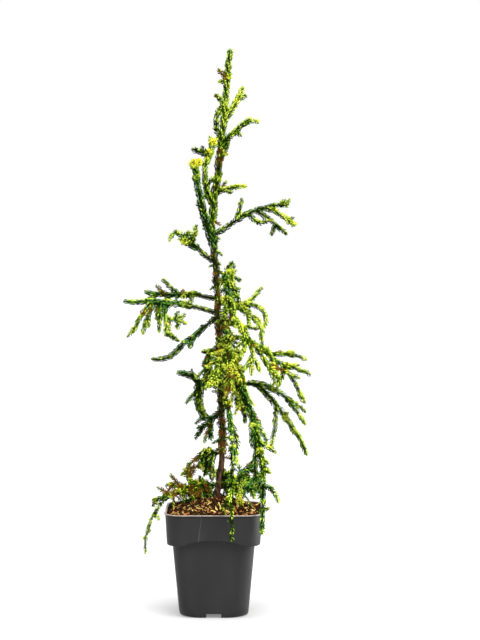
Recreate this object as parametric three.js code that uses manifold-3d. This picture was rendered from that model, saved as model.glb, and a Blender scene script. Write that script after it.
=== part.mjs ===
// Potted weeping Japanese cedar: a slim young conifer with rope-like shoots, in a square nursery pot.
// Units are millimetres and +Z is up. The origin is the middle of the pot's flat underside.
// The plant is seen from the front along +Y, with +X to the right.
//
// The trunk, each bough and each mass of foliage is its own solid. A mass is one stem with shoots
// that branch from it, and on every shoot a seeded rule sets side twigs and needles.
import * as THREE from 'three';
import { mergeVertices } from 'three/addons/utils/BufferGeometryUtils.js';
import Module from 'manifold-3d';

const wasm = await Module();
wasm.setup();

// Clear space that neighbouring solids keep between them.
const GAP = 0.3;

// How far a shape that cuts or joins another runs past it.
const PAST = 5;

const POT = {
  height: 160,
  rimHalf: 73,
  rimCorner: 26,
  lipHalf: 74,
  lipHeight: 2,
  lipRound: 0.6,
  collarHeight: 47,
  collarFootHalf: 70,
  collarFootCorner: 23,
  collarEase: 1.6,
  collarEaseHeight: 3,
  bodyTopHalf: 61.2,
  bodyTopCorner: 22,
  bodyFootHalf: 52.5,
  bodyFootCorner: 20,
  footFillet: 5,
  filletSteps: 3,
  wall: 1.6,
  cornerSteps: 3,
};

// Height of the step where the collar ends and the body goes on below it.
const STEP_HEIGHT = POT.height - POT.collarHeight;

// The collar's lower edge arches up in the middle of each side.
const ARCH = { span: 88, rise: 7, steps: 6 };

// The foot is cut away in the middle of each side, with a drain hole in the roof of each cut.
const NOTCH = { width: 23, height: 7, depth: 30, holeRadius: 4.5, holeSides: 8 };

// A shallow panel on the collar's front and back, wider at its foot.
const PANEL = { topWidth: 31, footWidth: 46, foot: 121, top: 157, depth: 0.7 };

// Growing medium fills the pot and rises in a low mound to the foot of the trunk.
const MOUND = {
  edge: 157,
  edgeInset: 1,
  shoulder: 167,
  shoulderHalf: 46,
  shoulderCorner: 30,
  top: 174,
  crownHalf: 20,
  sideGap: 0.4,
};

// How far the middle of the trunk stands to the right and to the back at each height.
const TRUNK_LINE = [
  { z: MOUND.top + GAP, right: 3, back: 0 },
  { z: 245, right: 13, back: 1 },
  { z: 300, right: 12, back: -1 },
  { z: 400, right: 8, back: 1 },
  { z: 480, right: 6, back: 2 },
  { z: 535, right: 3, back: 0 },
  { z: 602, right: -3, back: 1 },
];

const TRUNK_FOOT = TRUNK_LINE[0].z;
const TRUNK_TOP = TRUNK_LINE[TRUNK_LINE.length - 1].z;

// The trunk tapers from foot to tip and flares out over its roots. A limb starts a socket's depth
// under its surface.
const TRUNK = {
  footRadius: 4.7,
  tipRadius: 2.2,
  flare: 2.8,
  flareHeight: 9,
  sides: 8,
  steps: 18,
  socket: 0.8,
};

const BOUGH = { rootRadius: 2.3, tipRadius: 1.7, sides: 5, steps: 3 };

// A shoot is a slim core with rings a step apart. It starts on its parent no further out than the
// joint's share of the parent's length.
const SHOOT = {
  rootRadius: 2.9,
  tipRadius: 2.1,
  sides: 3,
  step: 11,
  jitter: 1.2,
  spacing: 0.6,
  joint: 0.95,
};

// Each ring has one tooth, a needle pressed to the shoot, and the teeth wind round it.
const TOOTH = { out: 1.55, forward: 3, twist: 24, radius: 1 };

// Side twigs, set about every so many millimetres of shoot, with the least and most they lean out.
const TWIG = { every: 50, from: 0.12, shortest: 8, longest: 14, radius: 1.4, leastLean: 38, mostLean: 62 };

// Needles that stand out.
const NEEDLE = { every: 50, shortest: 6.4, longest: 8.6, radius: 1.1, lean: 40, turn: 137.5 };

// A tuft of stubby twigs, spread along a shoot but kept clear of its ends.
const TUFT = {
  twigs: 3,
  shortest: 7,
  longest: 13,
  radius: 1.9,
  leastLean: 19,
  mostLean: 74,
  spread: 8,
  turn: 130,
  first: 0.02,
  last: 0.97,
};

// Twigs and needles are spikes. Each starts a little off its shoot's middle line, and takes up the
// space of a rod with this share of its root's radius.
const SPIKE = { sunk: 0.7, girth: 0.7, sides: 3 };

// A shoot that would touch another mass is turned aside, a step at a time.
const TURN = { step: 9, tries: 6 };

// Height that shoots keep above the surface that the pot stands on.
const LOWEST = 6;

// Seeds of the rules that bend shoots and set twigs and needles. Each mass has the next seed.
const SEEDS = { shoots: 101, twigs: 5000, needles: 9000, next: 37 };

const FINISH = {
  plastic: { color: '#3b3b3c', roughness: 0.5, metalness: 0 },
  medium: { color: '#4a3526', roughness: 0.95, metalness: 0 },
  bark: { color: '#6f5138', roughness: 0.9, metalness: 0 },
  dark: { color: '#2f4a26', roughness: 0.75, metalness: 0 },
  green: { color: '#4a6a26', roughness: 0.72, metalness: 0 },
  lime: { color: '#7d9430', roughness: 0.7, metalness: 0 },
  gold: { color: '#a9a73a', roughness: 0.7, metalness: 0 },
};

// One shoot: the shoot it grows from and how far along, its turn from the mass's heading, how far
// it reaches out and rises, how far its middle bows off its chord, and its girth.
function shoot(on, at, turn, reach, rise, bow = 0, girth = 1) {
  return { on, at, turn, reach, rise, bow, girth };
}

// A cluster of stubby twigs on a shoot.
function tuft(on, at) {
  return { on, at };
}

// Each mass: its heading in degrees from +X towards the back, the height where it leaves the
// trunk, the bough that carries it if it has one, its shoots, the first of which is the stem, and
// its tufts.
const MASSES = [
  {
    name: 'leader',
    finish: 'lime',
    heading: 0,
    foot: 602,
    shoots: [
      shoot(-1, 0, 0, 28, 262, -2, 1.35),
      shoot(0, 0.16, -25, 39, 12, 3),
      shoot(1, 0.45, 0, 9, -6),
      shoot(0, 0.37, 25, 17, 28, -2),
      shoot(0, 0.45, -15, 46, 38, 2, 1.15),
      shoot(4, 0.5, 0, 9, -6),
      shoot(0, 0.58, 20, 31, 55, -1, 1.15),
      shoot(6, 0.7, 0, 14, 5),
      shoot(0, 0.49, -10, -1, 48, 8),
      shoot(0, 0.64, 30, -14, 26, -4),
      shoot(0, 0.81, -30, -14, 3, -1),
      shoot(0, 0.1, 35, -18, 62, 6, 1.2),
      shoot(11, 1, 0, 17, 40, 0, 1.2),
      shoot(12, 0.45, 0, -28, 8, 0, 1.1),
      shoot(13, 0.4, 40, -2, 9),
      shoot(11, 0.35, -60, 14, 20, 6),
      shoot(0, 0.42, 12, 12, 22, -2),
    ],
    tufts: [tuft(12, 0.3), tuft(12, 0.9), tuft(0, 0.84)],
  },
  {
    name: 'left_leader',
    finish: 'green',
    heading: 206,
    foot: 562,
    shoots: [
      shoot(-1, 0, 0, 31, 124, -2, 1.5),
      shoot(0, 0.45, -50, 12, 14),
      shoot(0, 0.35, -30, 9, 26, 2),
    ],
    tufts: [tuft(0, 0.94), tuft(0, 0.85)],
  },
  {
    name: 'upper_right',
    finish: 'lime',
    heading: 12,
    foot: 583,
    bough: { reach: 20, rise: 11, bow: 0 },
    shoots: [
      shoot(-1, 0, 0, 96, 37, 7, 1.05),
      shoot(0, 0.18, 30, 9, 34, -1),
      shoot(0, 0.38, -20, 32, -11, -6),
      shoot(0, 0.5, 18, 56, -35, 2),
      shoot(0, 0.66, -20, 43, -26, 3),
      shoot(3, 0.6, 0, -5, -18),
      shoot(3, 0.62, 0, 12, -5),
    ],
    tufts: [tuft(0, 0.95), tuft(4, 0.9)],
  },
  {
    name: 'upper_left',
    finish: 'green',
    heading: 172,
    foot: 541,
    bough: { reach: 25, rise: 18, bow: 0 },
    shoots: [
      shoot(-1, 0, 0, 25, 20, -1, 1.4),
      shoot(0, 0.85, 15, 21, -3, 12),
      shoot(0, 0.9, -20, -17, 0, -9),
      shoot(2, 1, 0, 10, -9, -2),
      shoot(0, 0.35, -25, -9, 31, 1),
      shoot(4, 0.5, 0, -6, 7),
      shoot(0, 0.5, 30, 4, 11),
    ],
    tufts: [tuft(0, 0.7)],
  },
  {
    name: 'tier_left_upper',
    finish: 'green',
    heading: 157,
    foot: 485,
    bough: { reach: 31, rise: 6, bow: -3 },
    shoots: [
      shoot(-1, 0, 0, 92, 3, -3, 1.2),
      shoot(0, 0.32, 14, 27, 23, -1),
      shoot(0, 0.15, -40, -9, -11),
      shoot(0, 0.55, -35, 18, -24, 3),
      shoot(0, 0.75, 25, 22, -12, 2),
    ],
    tufts: [tuft(0, 0.22), tuft(0, 0.03)],
  },
  {
    name: 'tier_left',
    finish: 'green',
    heading: 184,
    foot: 463,
    bough: { reach: 38, rise: 11, bow: -2 },
    shoots: [
      shoot(-1, 0, 0, 105, 5, 3, 1.25),
      shoot(0, 0.59, 0, 26, -46, 3),
      shoot(0, 0.53, -25, 20, -50, 5),
      shoot(2, 0.45, 0, -1, -18),
      shoot(0, 0.46, 25, 2, -46, 1),
      shoot(0, 0.43, -30, -4, -52, -4),
      shoot(5, 1, 0, -23, -11, -3),
      shoot(4, 0.4, -22, -42, -14, 0),
      shoot(7, 0.55, 0, -6, 12),
      shoot(7, 0.65, 0, -13, 9),
      shoot(7, 0.7, 0, 0, -12),
    ],
    tufts: [tuft(0, 0.05)],
  },
  {
    name: 'low_left',
    finish: 'dark',
    heading: 196,
    foot: 452,
    bough: { reach: 19, rise: -10, bow: 2 },
    shoots: [
      shoot(-1, 0, 0, 37, -29, -1),
      shoot(0, 1, -8, 48, -23, -8, 0.9),
      shoot(0, 0.45, 35, 12, -18, 2),
    ],
    tufts: [],
  },
  {
    name: 'tier_right',
    finish: 'lime',
    heading: 4,
    foot: 461,
    bough: { reach: 26, rise: 8, bow: 0 },
    shoots: [
      shoot(-1, 0, 0, 37, 0, 5, 1.2),
      shoot(0, 1, 0, 3, -34, 8),
      shoot(1, 1, 0, 1, -35, -1),
      shoot(0, 0.15, -28, 35, -35, 3),
      shoot(0, 0.1, 15, -12, 51, -2),
      shoot(4, 0.5, 0, -11, 15, 1),
      shoot(5, 1, 0, -9, -6),
      shoot(4, 0.5, 20, 8, 4),
      shoot(0, 0.3, 20, 30, 28, -2, 1.1),
      shoot(0, 0.05, -44, 24, -30, 6),
      shoot(3, 0.5, 36, 14, -12, 3),
    ],
    tufts: [tuft(0, 0.04), tuft(4, 0.95)],
  },
  {
    name: 'arch_right',
    finish: 'gold',
    heading: -42,
    foot: 448,
    bough: { reach: 41, rise: -3, bow: 3 },
    shoots: [
      shoot(-1, 0, 0, 30, -43, 4, 1.1),
      shoot(0, 1, 0, -5, -35),
      shoot(0, 0.1, -30, 4, -18, 2),
      shoot(0, 0.5, 30, 8, -22, 3),
      shoot(0, 0.3, -48, 10, -26, 4),
      shoot(1, 0.3, 40, 10, -18, 3),
    ],
    tufts: [tuft(0, 0.05)],
  },
  {
    name: 'right_fan',
    finish: 'lime',
    heading: -6,
    foot: 420,
    bough: { reach: 34, rise: 3, bow: 3 },
    shoots: [
      shoot(-1, 0, 0, 65, -45, 4, 1.2),
      shoot(0, 1, -10, 34, -52, 3),
      shoot(0, 0.6, 14, 58, -10, 4),
      shoot(0, 0.88, 25, 31, -3, -2),
      shoot(0, 1, 6, 43, -15, 4),
      shoot(0, 1, -35, -11, -34, 2),
      shoot(1, 0.75, 0, 8, -18),
      shoot(0, 0.25, -30, 48, -51, -2),
      shoot(7, 0.4, 0, 22, -37, 2),
      shoot(0, 0.42, -22, 22, -30, 5),
      shoot(7, 0.7, 20, 14, -26, 3),
    ],
    tufts: [tuft(0, 0.5), tuft(2, 0.5)],
  },
  {
    name: 'low_right',
    finish: 'lime',
    heading: 14,
    foot: 348,
    bough: { reach: 39, rise: 5, bow: 2 },
    shoots: [
      shoot(-1, 0, 0, 64, -25, 6, 1.2),
      shoot(0, 1, 0, 33, -24, 2),
      shoot(0, 1, -22, 31, -43, 1),
      shoot(0, 0.2, 12, 90, -114, 7, 1.25),
      shoot(3, 0.35, 0, -12, -68, 3),
    ],
    tufts: [tuft(0, 0.55), tuft(3, 0.5)],
  },
  {
    name: 'right_curtain',
    finish: 'green',
    heading: -52,
    foot: 335,
    bough: { reach: 46, rise: 15, bow: 3 },
    shoots: [
      shoot(-1, 0, 0, 40, -63, 3, 1.3),
      shoot(0, 1, -6, 17, -75, 2, 1.3),
      shoot(1, 1, -4, -2, -86, 3, 1.1),
      shoot(0, 0.8, 42, 20, -34, 2),
      shoot(1, 0.25, 48, 26, -17),
      shoot(1, 0.6, 30, 12, -6),
      shoot(0, 0.6, -30, 4, -52, 2),
      shoot(1, 0.8, 26, 14, -4),
      shoot(2, 0.12, 22, 30, -24, 5),
      shoot(2, 0.55, 18, 13, 2),
      shoot(0, 0.9, -34, -2, -84, 4, 1.2),
      shoot(10, 0.85, 42, 8, -26, 3),
    ],
    tufts: [tuft(0, 0.9), tuft(1, 0.4)],
  },
  {
    name: 'front_curtain',
    finish: 'lime',
    heading: -80,
    foot: 318,
    bough: { reach: 38, rise: 14, bow: 4 },
    shoots: [
      shoot(-1, 0, 0, 52, -60, 12, 1.1),
      shoot(0, 1, 0, 4, -142, -2, 1.05),
      shoot(1, 0.05, 55, 6, -30, 2),
      shoot(0, 0.4, 12, 6, -28, 2),
      shoot(0, 0.62, 48, 12, -46, 4),
      shoot(1, 0.5, -40, 5, -24, 2),
    ],
    tufts: [tuft(0, 0.15)],
  },
  {
    name: 'left_arm',
    finish: 'dark',
    heading: 176,
    foot: 349,
    bough: { reach: 25, rise: 3, bow: 0 },
    shoots: [
      shoot(-1, 0, 0, 40, 19, 4, 1.4),
      shoot(0, 0.1, 0, -8, -58, 6, 1.9),
      shoot(1, 0.2, 12, 19, -21, 1),
      shoot(1, 0.45, 20, 1, -16),
    ],
    tufts: [],
  },
  {
    name: 'low_left_twigs',
    finish: 'dark',
    heading: 190,
    foot: 310,
    shoots: [
      shoot(-1, 0, 0, 38, -42, 2, 1.1),
      shoot(0, 0.3, -30, 0, -34, 2),
      shoot(0, 0.55, 30, 14, -3),
    ],
    tufts: [],
  },
  {
    name: 'heart_left',
    finish: 'dark',
    heading: 203,
    foot: 404,
    shoots: [
      shoot(-1, 0, 0, 13, -4, 1, 1.3),
      shoot(0, 1, -10, 12, 1),
      shoot(0, 1, 10, 14, -47, -4, 1.3),
      shoot(0, 0.7, 30, 3, -46, 2, 1.2),
      shoot(0, 0.9, -55, 6, -30, 3),
      shoot(3, 0.5, 60, 10, -16, 3),
    ],
    tufts: [tuft(0, 0.9)],
  },
  {
    name: 'heart_front',
    finish: 'gold',
    heading: -76,
    foot: 412,
    shoots: [
      shoot(-1, 0, 0, 34, -6, 5, 1.4),
      shoot(0, 0.6, 40, 16, -34, 4, 1.2),
      shoot(0, 1, 8, 16, -44, 5, 1.2),
      shoot(0, 0.8, -48, 12, -26, 3),
      shoot(1, 0.5, 20, 14, -22, 2),
      shoot(2, 0.55, 34, 10, -38, 4, 1.1),
      shoot(3, 0.9, 0, 8, -34, 2, 1.1),
      shoot(0, 0.5, 62, 20, 8, 5),
      shoot(0, 0.95, 50, 20, -14, 6),
    ],
    tufts: [tuft(0, 0.5), tuft(0, 0.95), tuft(2, 0.6)],
  },
  {
    name: 'heart_right',
    finish: 'gold',
    heading: -22,
    foot: 385,
    shoots: [
      shoot(-1, 0, 0, 26, -8, 3, 1.3),
      shoot(0, 1, 0, 9, -30, 3, 1.2),
      shoot(0, 0.5, -30, 8, -34, 3, 1.2),
      shoot(0, 0.7, 40, 10, 18, 2),
      shoot(1, 0.6, -34, 10, -30, 3, 1.1),
      shoot(2, 0.5, 30, 10, -26, 2),
    ],
    tufts: [tuft(0, 0.6), tuft(1, 0.6)],
  },
  {
    name: 'back_upper',
    finish: 'dark',
    heading: 74,
    foot: 497,
    bough: { reach: 24, rise: 12, bow: 2 },
    shoots: [
      shoot(-1, 0, 0, 42, 6, 6, 1.2),
      shoot(0, 0.95, 6, 20, -46, 6),
      shoot(0, 0.6, -10, 22, 20, 2),
      shoot(0, 0.4, 12, 14, -38, 5),
    ],
    tufts: [tuft(0, 0.5)],
  },
  {
    name: 'back_high',
    finish: 'green',
    heading: 82,
    foot: 436,
    bough: { reach: 30, rise: 6, bow: 2 },
    shoots: [
      shoot(-1, 0, 0, 52, -10, 7, 1.25),
      shoot(0, 1, 4, 18, -62, 6),
      shoot(0, 0.55, -16, 22, -50, 6),
      shoot(0, 0.3, 16, 8, -44, 4),
      shoot(0, 0.75, 8, 20, 14, -3),
    ],
    tufts: [tuft(0, 0.6), tuft(0, 0.15)],
  },
  {
    name: 'back_low',
    finish: 'green',
    heading: 66,
    foot: 366,
    bough: { reach: 30, rise: 4, bow: 2 },
    shoots: [
      shoot(-1, 0, 0, 50, -16, 7, 1.25),
      shoot(0, 1, 0, 14, -74, 7, 1.1),
      shoot(0, 0.6, 18, 18, -60, 6),
      shoot(0, 0.35, -12, 6, -56, 5),
      shoot(1, 0.5, 20, 12, -22, 2),
    ],
    tufts: [tuft(0, 0.5)],
  },
  {
    name: 'front_high',
    finish: 'gold',
    heading: -68,
    foot: 474,
    bough: { reach: 22, rise: 6, bow: 2 },
    shoots: [
      shoot(-1, 0, 0, 34, -4, 6, 1.1),
      shoot(0, 1, 0, 12, -34, 4),
      shoot(0, 0.5, 20, 10, -26, 3),
    ],
    tufts: [tuft(0, 0.2)],
  },
  {
    name: 'base_left',
    finish: 'green',
    heading: 180,
    foot: 196,
    shoots: [
      shoot(-1, 0, 0, 80, -22, 6, 1.3),
      shoot(0, 1, 4, 34, -80, 8, 1.1),
      shoot(0, 0.95, 0, 20, -4),
      shoot(0, 0.5, -16, 35, 4, 3),
      shoot(0, 0.42, 12, 6, 38, -3, 1.1),
      shoot(0, 0.2, -20, 10, 12, 1),
      shoot(0, 0.3, 24, 18, 6, 2),
      shoot(0, 0.12, 42, 16, -9, 7),
      shoot(0, 0.28, -38, 18, -9, 6, 1.1),
      shoot(0, 0.42, 40, 15, -8, 5),
      shoot(0, 0.62, -28, 18, 7, 3),
      shoot(0, 0.66, 32, 15, -7, 4),
      shoot(4, 0.45, -20, 9, 5),
      shoot(0, 0.2, -50, 22, -12, 7),
      shoot(5, 0.6, 30, 10, -10, 4),
    ],
    tufts: [tuft(0, 0.35), tuft(0, 0.6), tuft(4, 0.5)],
  },
  {
    name: 'base_left_upper',
    finish: 'dark',
    heading: 186,
    foot: 246,
    shoots: [
      shoot(-1, 0, 0, 37, -13, 8, 1.1),
      shoot(0, 0.35, -20, 6, -36, 3, 1.4),
      shoot(0, 0.2, 20, 3, -44, 3, 1.2),
      shoot(0, 0.55, -14, 4, -26, 3, 1.3),
      shoot(1, 0.55, 30, 12, -6, 2),
    ],
    tufts: [tuft(0, 0.4)],
  },
  {
    name: 'base_right',
    finish: 'dark',
    heading: 8,
    foot: 190,
    shoots: [
      shoot(-1, 0, 0, 22, 10, 1, 1.2),
      shoot(0, 1, 6, 33, 35, -3, 1.2),
      shoot(0, 0.9, -14, 34, 2, 4),
      shoot(0, 0.5, -30, 22, -6, 2),
      shoot(0, 0.1, -10, 4, 30, -1),
      shoot(0, 0.7, -48, 40, -6, 5, 1.2),
      shoot(5, 0.5, 24, 22, -13, 4, 1.1),
      shoot(5, 0.9, -10, 16, -11, 3, 1.2),
      shoot(5, 0.35, -34, 16, -9, 5),
      shoot(2, 0.5, -20, 14, -16, 3, 1.1),
      shoot(6, 0.9, 0, 4, 14),
      shoot(1, 0.4, 40, 16, -22, 4),
    ],
    tufts: [tuft(3, 0.95)],
  },
  {
    name: 'base_back',
    finish: 'green',
    heading: 84,
    foot: 204,
    shoots: [
      shoot(-1, 0, 0, 60, -12, 6, 1.2),
      shoot(0, 0.95, -4, 46, -24, 8),
      shoot(0, 0.5, 14, 22, 12, 3),
      shoot(1, 0.5, 30, 22, -10, 3),
      shoot(1, 0.3, -36, 24, -2, 4),
    ],
    tufts: [tuft(0, 0.5)],
  },
];

const UP = new THREE.Vector3(0, 0, 1);

// Corners closer than this are one corner.
const SAME = 1e-4;

// The multiplier and the prime modulus of the seeded rule.
const RULE = { factor: 16807, prime: 2147483647 };

// Numbers between 0 and 1, the same ones each time for the same seed.
function seededNumbers(seed) {
  let state = seed;
  return () => {
    state = (state * RULE.factor) % RULE.prime;
    return state / RULE.prime;
  };
}

function lerp(from, to, share) {
  return from + (to - from) * share;
}

// A closed three.js geometry as a solid that can be joined and cut.
function solidOf(geometry) {
  const bare = geometry.index ? geometry.toNonIndexed() : geometry.clone();
  bare.deleteAttribute('normal');
  bare.deleteAttribute('uv');
  const merged = mergeVertices(bare, SAME);
  return new wasm.Manifold(
    new wasm.Mesh({
      numProp: 3,
      vertProperties: new Float32Array(merged.attributes.position.array),
      triVerts: new Uint32Array(merged.index.array),
    }),
  );
}

function joined(solids) {
  return solids.reduce((whole, solid) => whole.add(solid));
}

// The largest piece of a solid, without the scraps that a cut leaves.
function largestPiece(solid) {
  return solid.decompose().reduce((best, piece) => (piece.volume() > best.volume() ? piece : best));
}

function meshOf(solid, name, finish) {
  const { vertProperties, triVerts } = solid.getMesh();
  const geometry = new THREE.BufferGeometry();
  geometry.setAttribute('position', new THREE.BufferAttribute(new Float32Array(vertProperties), 3));
  geometry.setIndex(new THREE.BufferAttribute(new Uint32Array(triVerts), 1));
  const flat = geometry.toNonIndexed();
  flat.computeVertexNormals();
  const mesh = new THREE.Mesh(flat, new THREE.MeshStandardMaterial(FINISH[finish]));
  mesh.name = name;
  return mesh;
}

// A solid made of rings, the first on top: `place` puts the point of a row and an angle, and the
// middle of an end has no angle.
function ringSolid(sides, rows, place, pointed = false) {
  const geometry = new THREE.CylinderGeometry(pointed ? 0 : 1, 1, 1, sides, rows - 1);
  const position = geometry.attributes.position;
  for (let i = 0; i < position.count; i += 1) {
    const row = Math.round((0.5 - position.getY(i)) * (rows - 1));
    const isMiddle = Math.hypot(position.getX(i), position.getZ(i)) < SAME;
    const column = Math.round((Math.atan2(position.getX(i), position.getZ(i)) / (2 * Math.PI)) * sides);
    const point = place(row, isMiddle ? null : (column + sides) % sides);
    position.setXYZ(i, point.x, point.y, point.z);
  }
  return solidOf(geometry);
}

// A block of rounded squares, listed from the top down as half width, height and corner radius.
function squareBlock(rings) {
  const perCorner = POT.cornerSteps + 1;
  return ringSolid(4 * perCorner, rings.length, (row, column) => {
    const { half, z, corner } = rings[row];
    if (column === null) {
      return new THREE.Vector3(0, 0, z);
    }
    const quarter = Math.floor(column / perCorner);
    const angle = (Math.PI / 2) * (quarter - 1 + (column % perCorner) / POT.cornerSteps);
    const middle = (Math.PI / 2) * (quarter - 0.5);
    const centre = half - corner;
    return new THREE.Vector3(
      Math.sign(Math.cos(middle)) * centre + corner * Math.cos(angle),
      Math.sign(Math.sin(middle)) * centre + corner * Math.sin(angle),
      z,
    );
  });
}

// The pot's body, drawn in by `inset` on its sides and foot. Its top runs up into the collar.
function bodyBlock(inset) {
  const slope = (POT.bodyTopHalf - POT.bodyFootHalf) / STEP_HEIGHT;
  const ring = (z, drawnIn) => ({
    half: POT.bodyFootHalf + slope * z - drawnIn - inset,
    z: Math.max(z, inset),
    corner: lerp(POT.bodyFootCorner, POT.bodyTopCorner, z / POT.height) - inset,
  });
  const radius = POT.footFillet - inset;
  const rings = [ring(STEP_HEIGHT + ARCH.rise + PAST, 0)];
  for (let i = 0; i <= POT.filletSteps; i += 1) {
    const angle = (Math.PI / 2) * (i / POT.filletSteps);
    rings.push(ring(inset + radius * (1 - Math.sin(angle)), radius * (1 - Math.cos(angle))));
  }
  return squareBlock(rings);
}

// The collar round the top, with its lip when it isn't drawn in.
function collarBlock(inset) {
  const foot = STEP_HEIGHT + inset;
  const below = POT.height - POT.lipHeight;
  const half = POT.collarFootHalf - inset;
  const corner = POT.collarFootCorner - inset;
  const rings = [
    { half: POT.rimHalf - inset, z: below, corner: POT.rimCorner - inset },
    { half, z: foot + POT.collarEaseHeight, corner },
    { half: half - POT.collarEase, z: foot, corner: corner - POT.collarEase },
  ];
  if (inset > 0) {
    return squareBlock([{ ...rings[0], z: POT.height + PAST }, ...rings]);
  }
  const lipCorner = POT.rimCorner + POT.lipRound;
  const lip = [
    { half: POT.lipHalf - POT.lipRound, z: POT.height, corner: POT.rimCorner },
    { half: POT.lipHalf, z: POT.height - POT.lipRound, corner: lipCorner },
    { half: POT.lipHalf, z: below, corner: lipCorner },
  ];
  return squareBlock([...lip, ...rings]);
}

// A shape of the front side, set on the sides that `quarters` names.
function onSides(geometry, quarters = [0, 1, 2, 3]) {
  return joined(quarters.map((quarter) => solidOf(geometry.clone().rotateZ((quarter * Math.PI) / 2))));
}

// The space under each arch: a circular segment that runs in from outside to `face`.
function archSpace(face, margin) {
  const half = ARCH.span / 2;
  const radius = (half * half + ARCH.rise * ARCH.rise) / (2 * ARCH.rise);
  const foot = STEP_HEIGHT - PAST;
  const centre = STEP_HEIGHT + ARCH.rise - radius;
  const outer = radius + margin;
  const reach = Math.asin((half + margin) / outer);
  const outline = new THREE.Shape();
  outline.moveTo(-half - margin, foot);
  outline.lineTo(half + margin, foot);
  outline.absarc(0, centre, outer, Math.PI / 2 - reach, Math.PI / 2 + reach, false);
  outline.closePath();
  const depth = POT.lipHalf + PAST - face;
  const curveSegments = ARCH.steps;
  const geometry = new THREE.ExtrudeGeometry(outline, { depth, bevelEnabled: false, curveSegments });
  geometry.rotateX(Math.PI / 2);
  geometry.translate(0, -face, 0);
  return onSides(geometry);
}

// The space of each cut in the foot, with `margin` round it.
function notchSpace(margin) {
  const width = NOTCH.width + 2 * margin;
  const depth = NOTCH.depth + margin + PAST;
  const height = NOTCH.height + margin + PAST;
  const geometry = new THREE.BoxGeometry(width, depth, height);
  geometry.translate(0, depth / 2 - POT.bodyFootHalf - PAST, height / 2 - PAST);
  return onSides(geometry);
}

function drainHoles() {
  const { holeRadius, holeSides } = NOTCH;
  const geometry = new THREE.CylinderGeometry(holeRadius, holeRadius, 2 * PAST, holeSides);
  geometry.rotateX(Math.PI / 2);
  geometry.translate(0, -POT.bodyFootHalf + NOTCH.depth / 2, NOTCH.height);
  return onSides(geometry);
}

// The recess of the panel, on the collar's front and back.
function panelSpace() {
  const outline = new THREE.Shape();
  outline.moveTo(-PANEL.footWidth / 2, PANEL.foot);
  outline.lineTo(PANEL.footWidth / 2, PANEL.foot);
  outline.lineTo(PANEL.topWidth / 2, PANEL.top);
  outline.lineTo(-PANEL.topWidth / 2, PANEL.top);
  outline.closePath();
  const geometry = new THREE.ExtrudeGeometry(outline, { depth: PAST, bevelEnabled: false });
  const slope = (POT.rimHalf - POT.collarFootHalf) / POT.collarHeight;
  const face = POT.collarFootHalf + slope * (PANEL.foot - STEP_HEIGHT);
  geometry.translate(0, -PANEL.foot, 0);
  geometry.rotateX(Math.PI / 2 + Math.atan(slope));
  geometry.translate(0, -face + PANEL.depth, PANEL.foot);
  return onSides(geometry, [0, 2]);
}

// The space inside the pot, `inset` in from its outer faces.
function potInside(inset) {
  const wide = collarBlock(inset).subtract(archSpace(POT.bodyTopHalf - inset, inset));
  return bodyBlock(inset).add(wide).subtract(notchSpace(inset));
}

function potSolid() {
  const collar = collarBlock(0).subtract(archSpace(POT.bodyTopHalf - 2 * POT.wall, 0));
  return bodyBlock(0)
    .add(collar)
    .subtract(notchSpace(0))
    .subtract(potInside(POT.wall))
    .subtract(drainHoles())
    .subtract(panelSpace());
}

// Growing medium: what the pot holds, under a low mound.
function mediumSolid() {
  const inset = POT.wall + MOUND.sideGap;
  const edge = { half: POT.rimHalf - inset - MOUND.edgeInset, corner: POT.rimCorner - MOUND.edgeInset };
  const shoulder = { half: MOUND.shoulderHalf, corner: MOUND.shoulderCorner };
  const mound = squareBlock([
    { half: MOUND.crownHalf, corner: MOUND.crownHalf - MOUND.edgeInset, z: MOUND.top },
    { ...shoulder, z: MOUND.shoulder },
    { ...edge, z: MOUND.edge },
    { ...edge, z: 0 },
  ]);
  const above = squareBlock([
    { ...shoulder, z: MOUND.top },
    { ...shoulder, z: MOUND.edge },
  ]);
  return potInside(inset).add(above).intersect(mound);
}

// The trunk's middle line: a smooth sway through the places of TRUNK_LINE.
class TrunkLine extends THREE.Curve {
  getPoint(share, target = new THREE.Vector3()) {
    const last = TRUNK_LINE.length - 1;
    const z = lerp(TRUNK_FOOT, TRUNK_TOP, share);
    let i = 0;
    while (i < last - 1 && z > TRUNK_LINE[i + 1].z) {
      i += 1;
    }
    const from = TRUNK_LINE[i];
    const to = TRUNK_LINE[i + 1];
    const span = to.z - from.z;
    const u = (z - from.z) / span;
    const sway = (key) => {
      const slope = (index) => {
        const before = TRUNK_LINE[Math.max(index - 1, 0)];
        const after = TRUNK_LINE[Math.min(index + 1, last)];
        return (after[key] - before[key]) / (after.z - before.z);
      };
      const rest = from[key] + (to[key] - from[key]) * u * u * (3 - 2 * u);
      return rest + span * u * (1 - u) * ((1 - u) * slope(i) - u * slope(i + 1));
    };
    return target.set(sway('right'), sway('back'), z);
  }
}

const TRUNK_CURVE = new TrunkLine();

// How far along the trunk a height is, from 0 at its foot to 1 at its top.
function trunkShare(height) {
  return (height - TRUNK_FOOT) / (TRUNK_TOP - TRUNK_FOOT);
}

function trunkRadius(share) {
  const flare = TRUNK.flare * Math.exp((-share * (TRUNK_TOP - TRUNK_FOOT)) / TRUNK.flareHeight);
  return lerp(TRUNK.footRadius, TRUNK.tipRadius, share) + flare;
}

// The part of `across` that is square to a curve's tangent.
function squareTo(tangent, across) {
  return across.clone().addScaledVector(tangent, -across.dot(tangent)).normalize();
}

function toothTwist(row) {
  return THREE.MathUtils.degToRad(TOOTH.twist * row);
}

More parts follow.
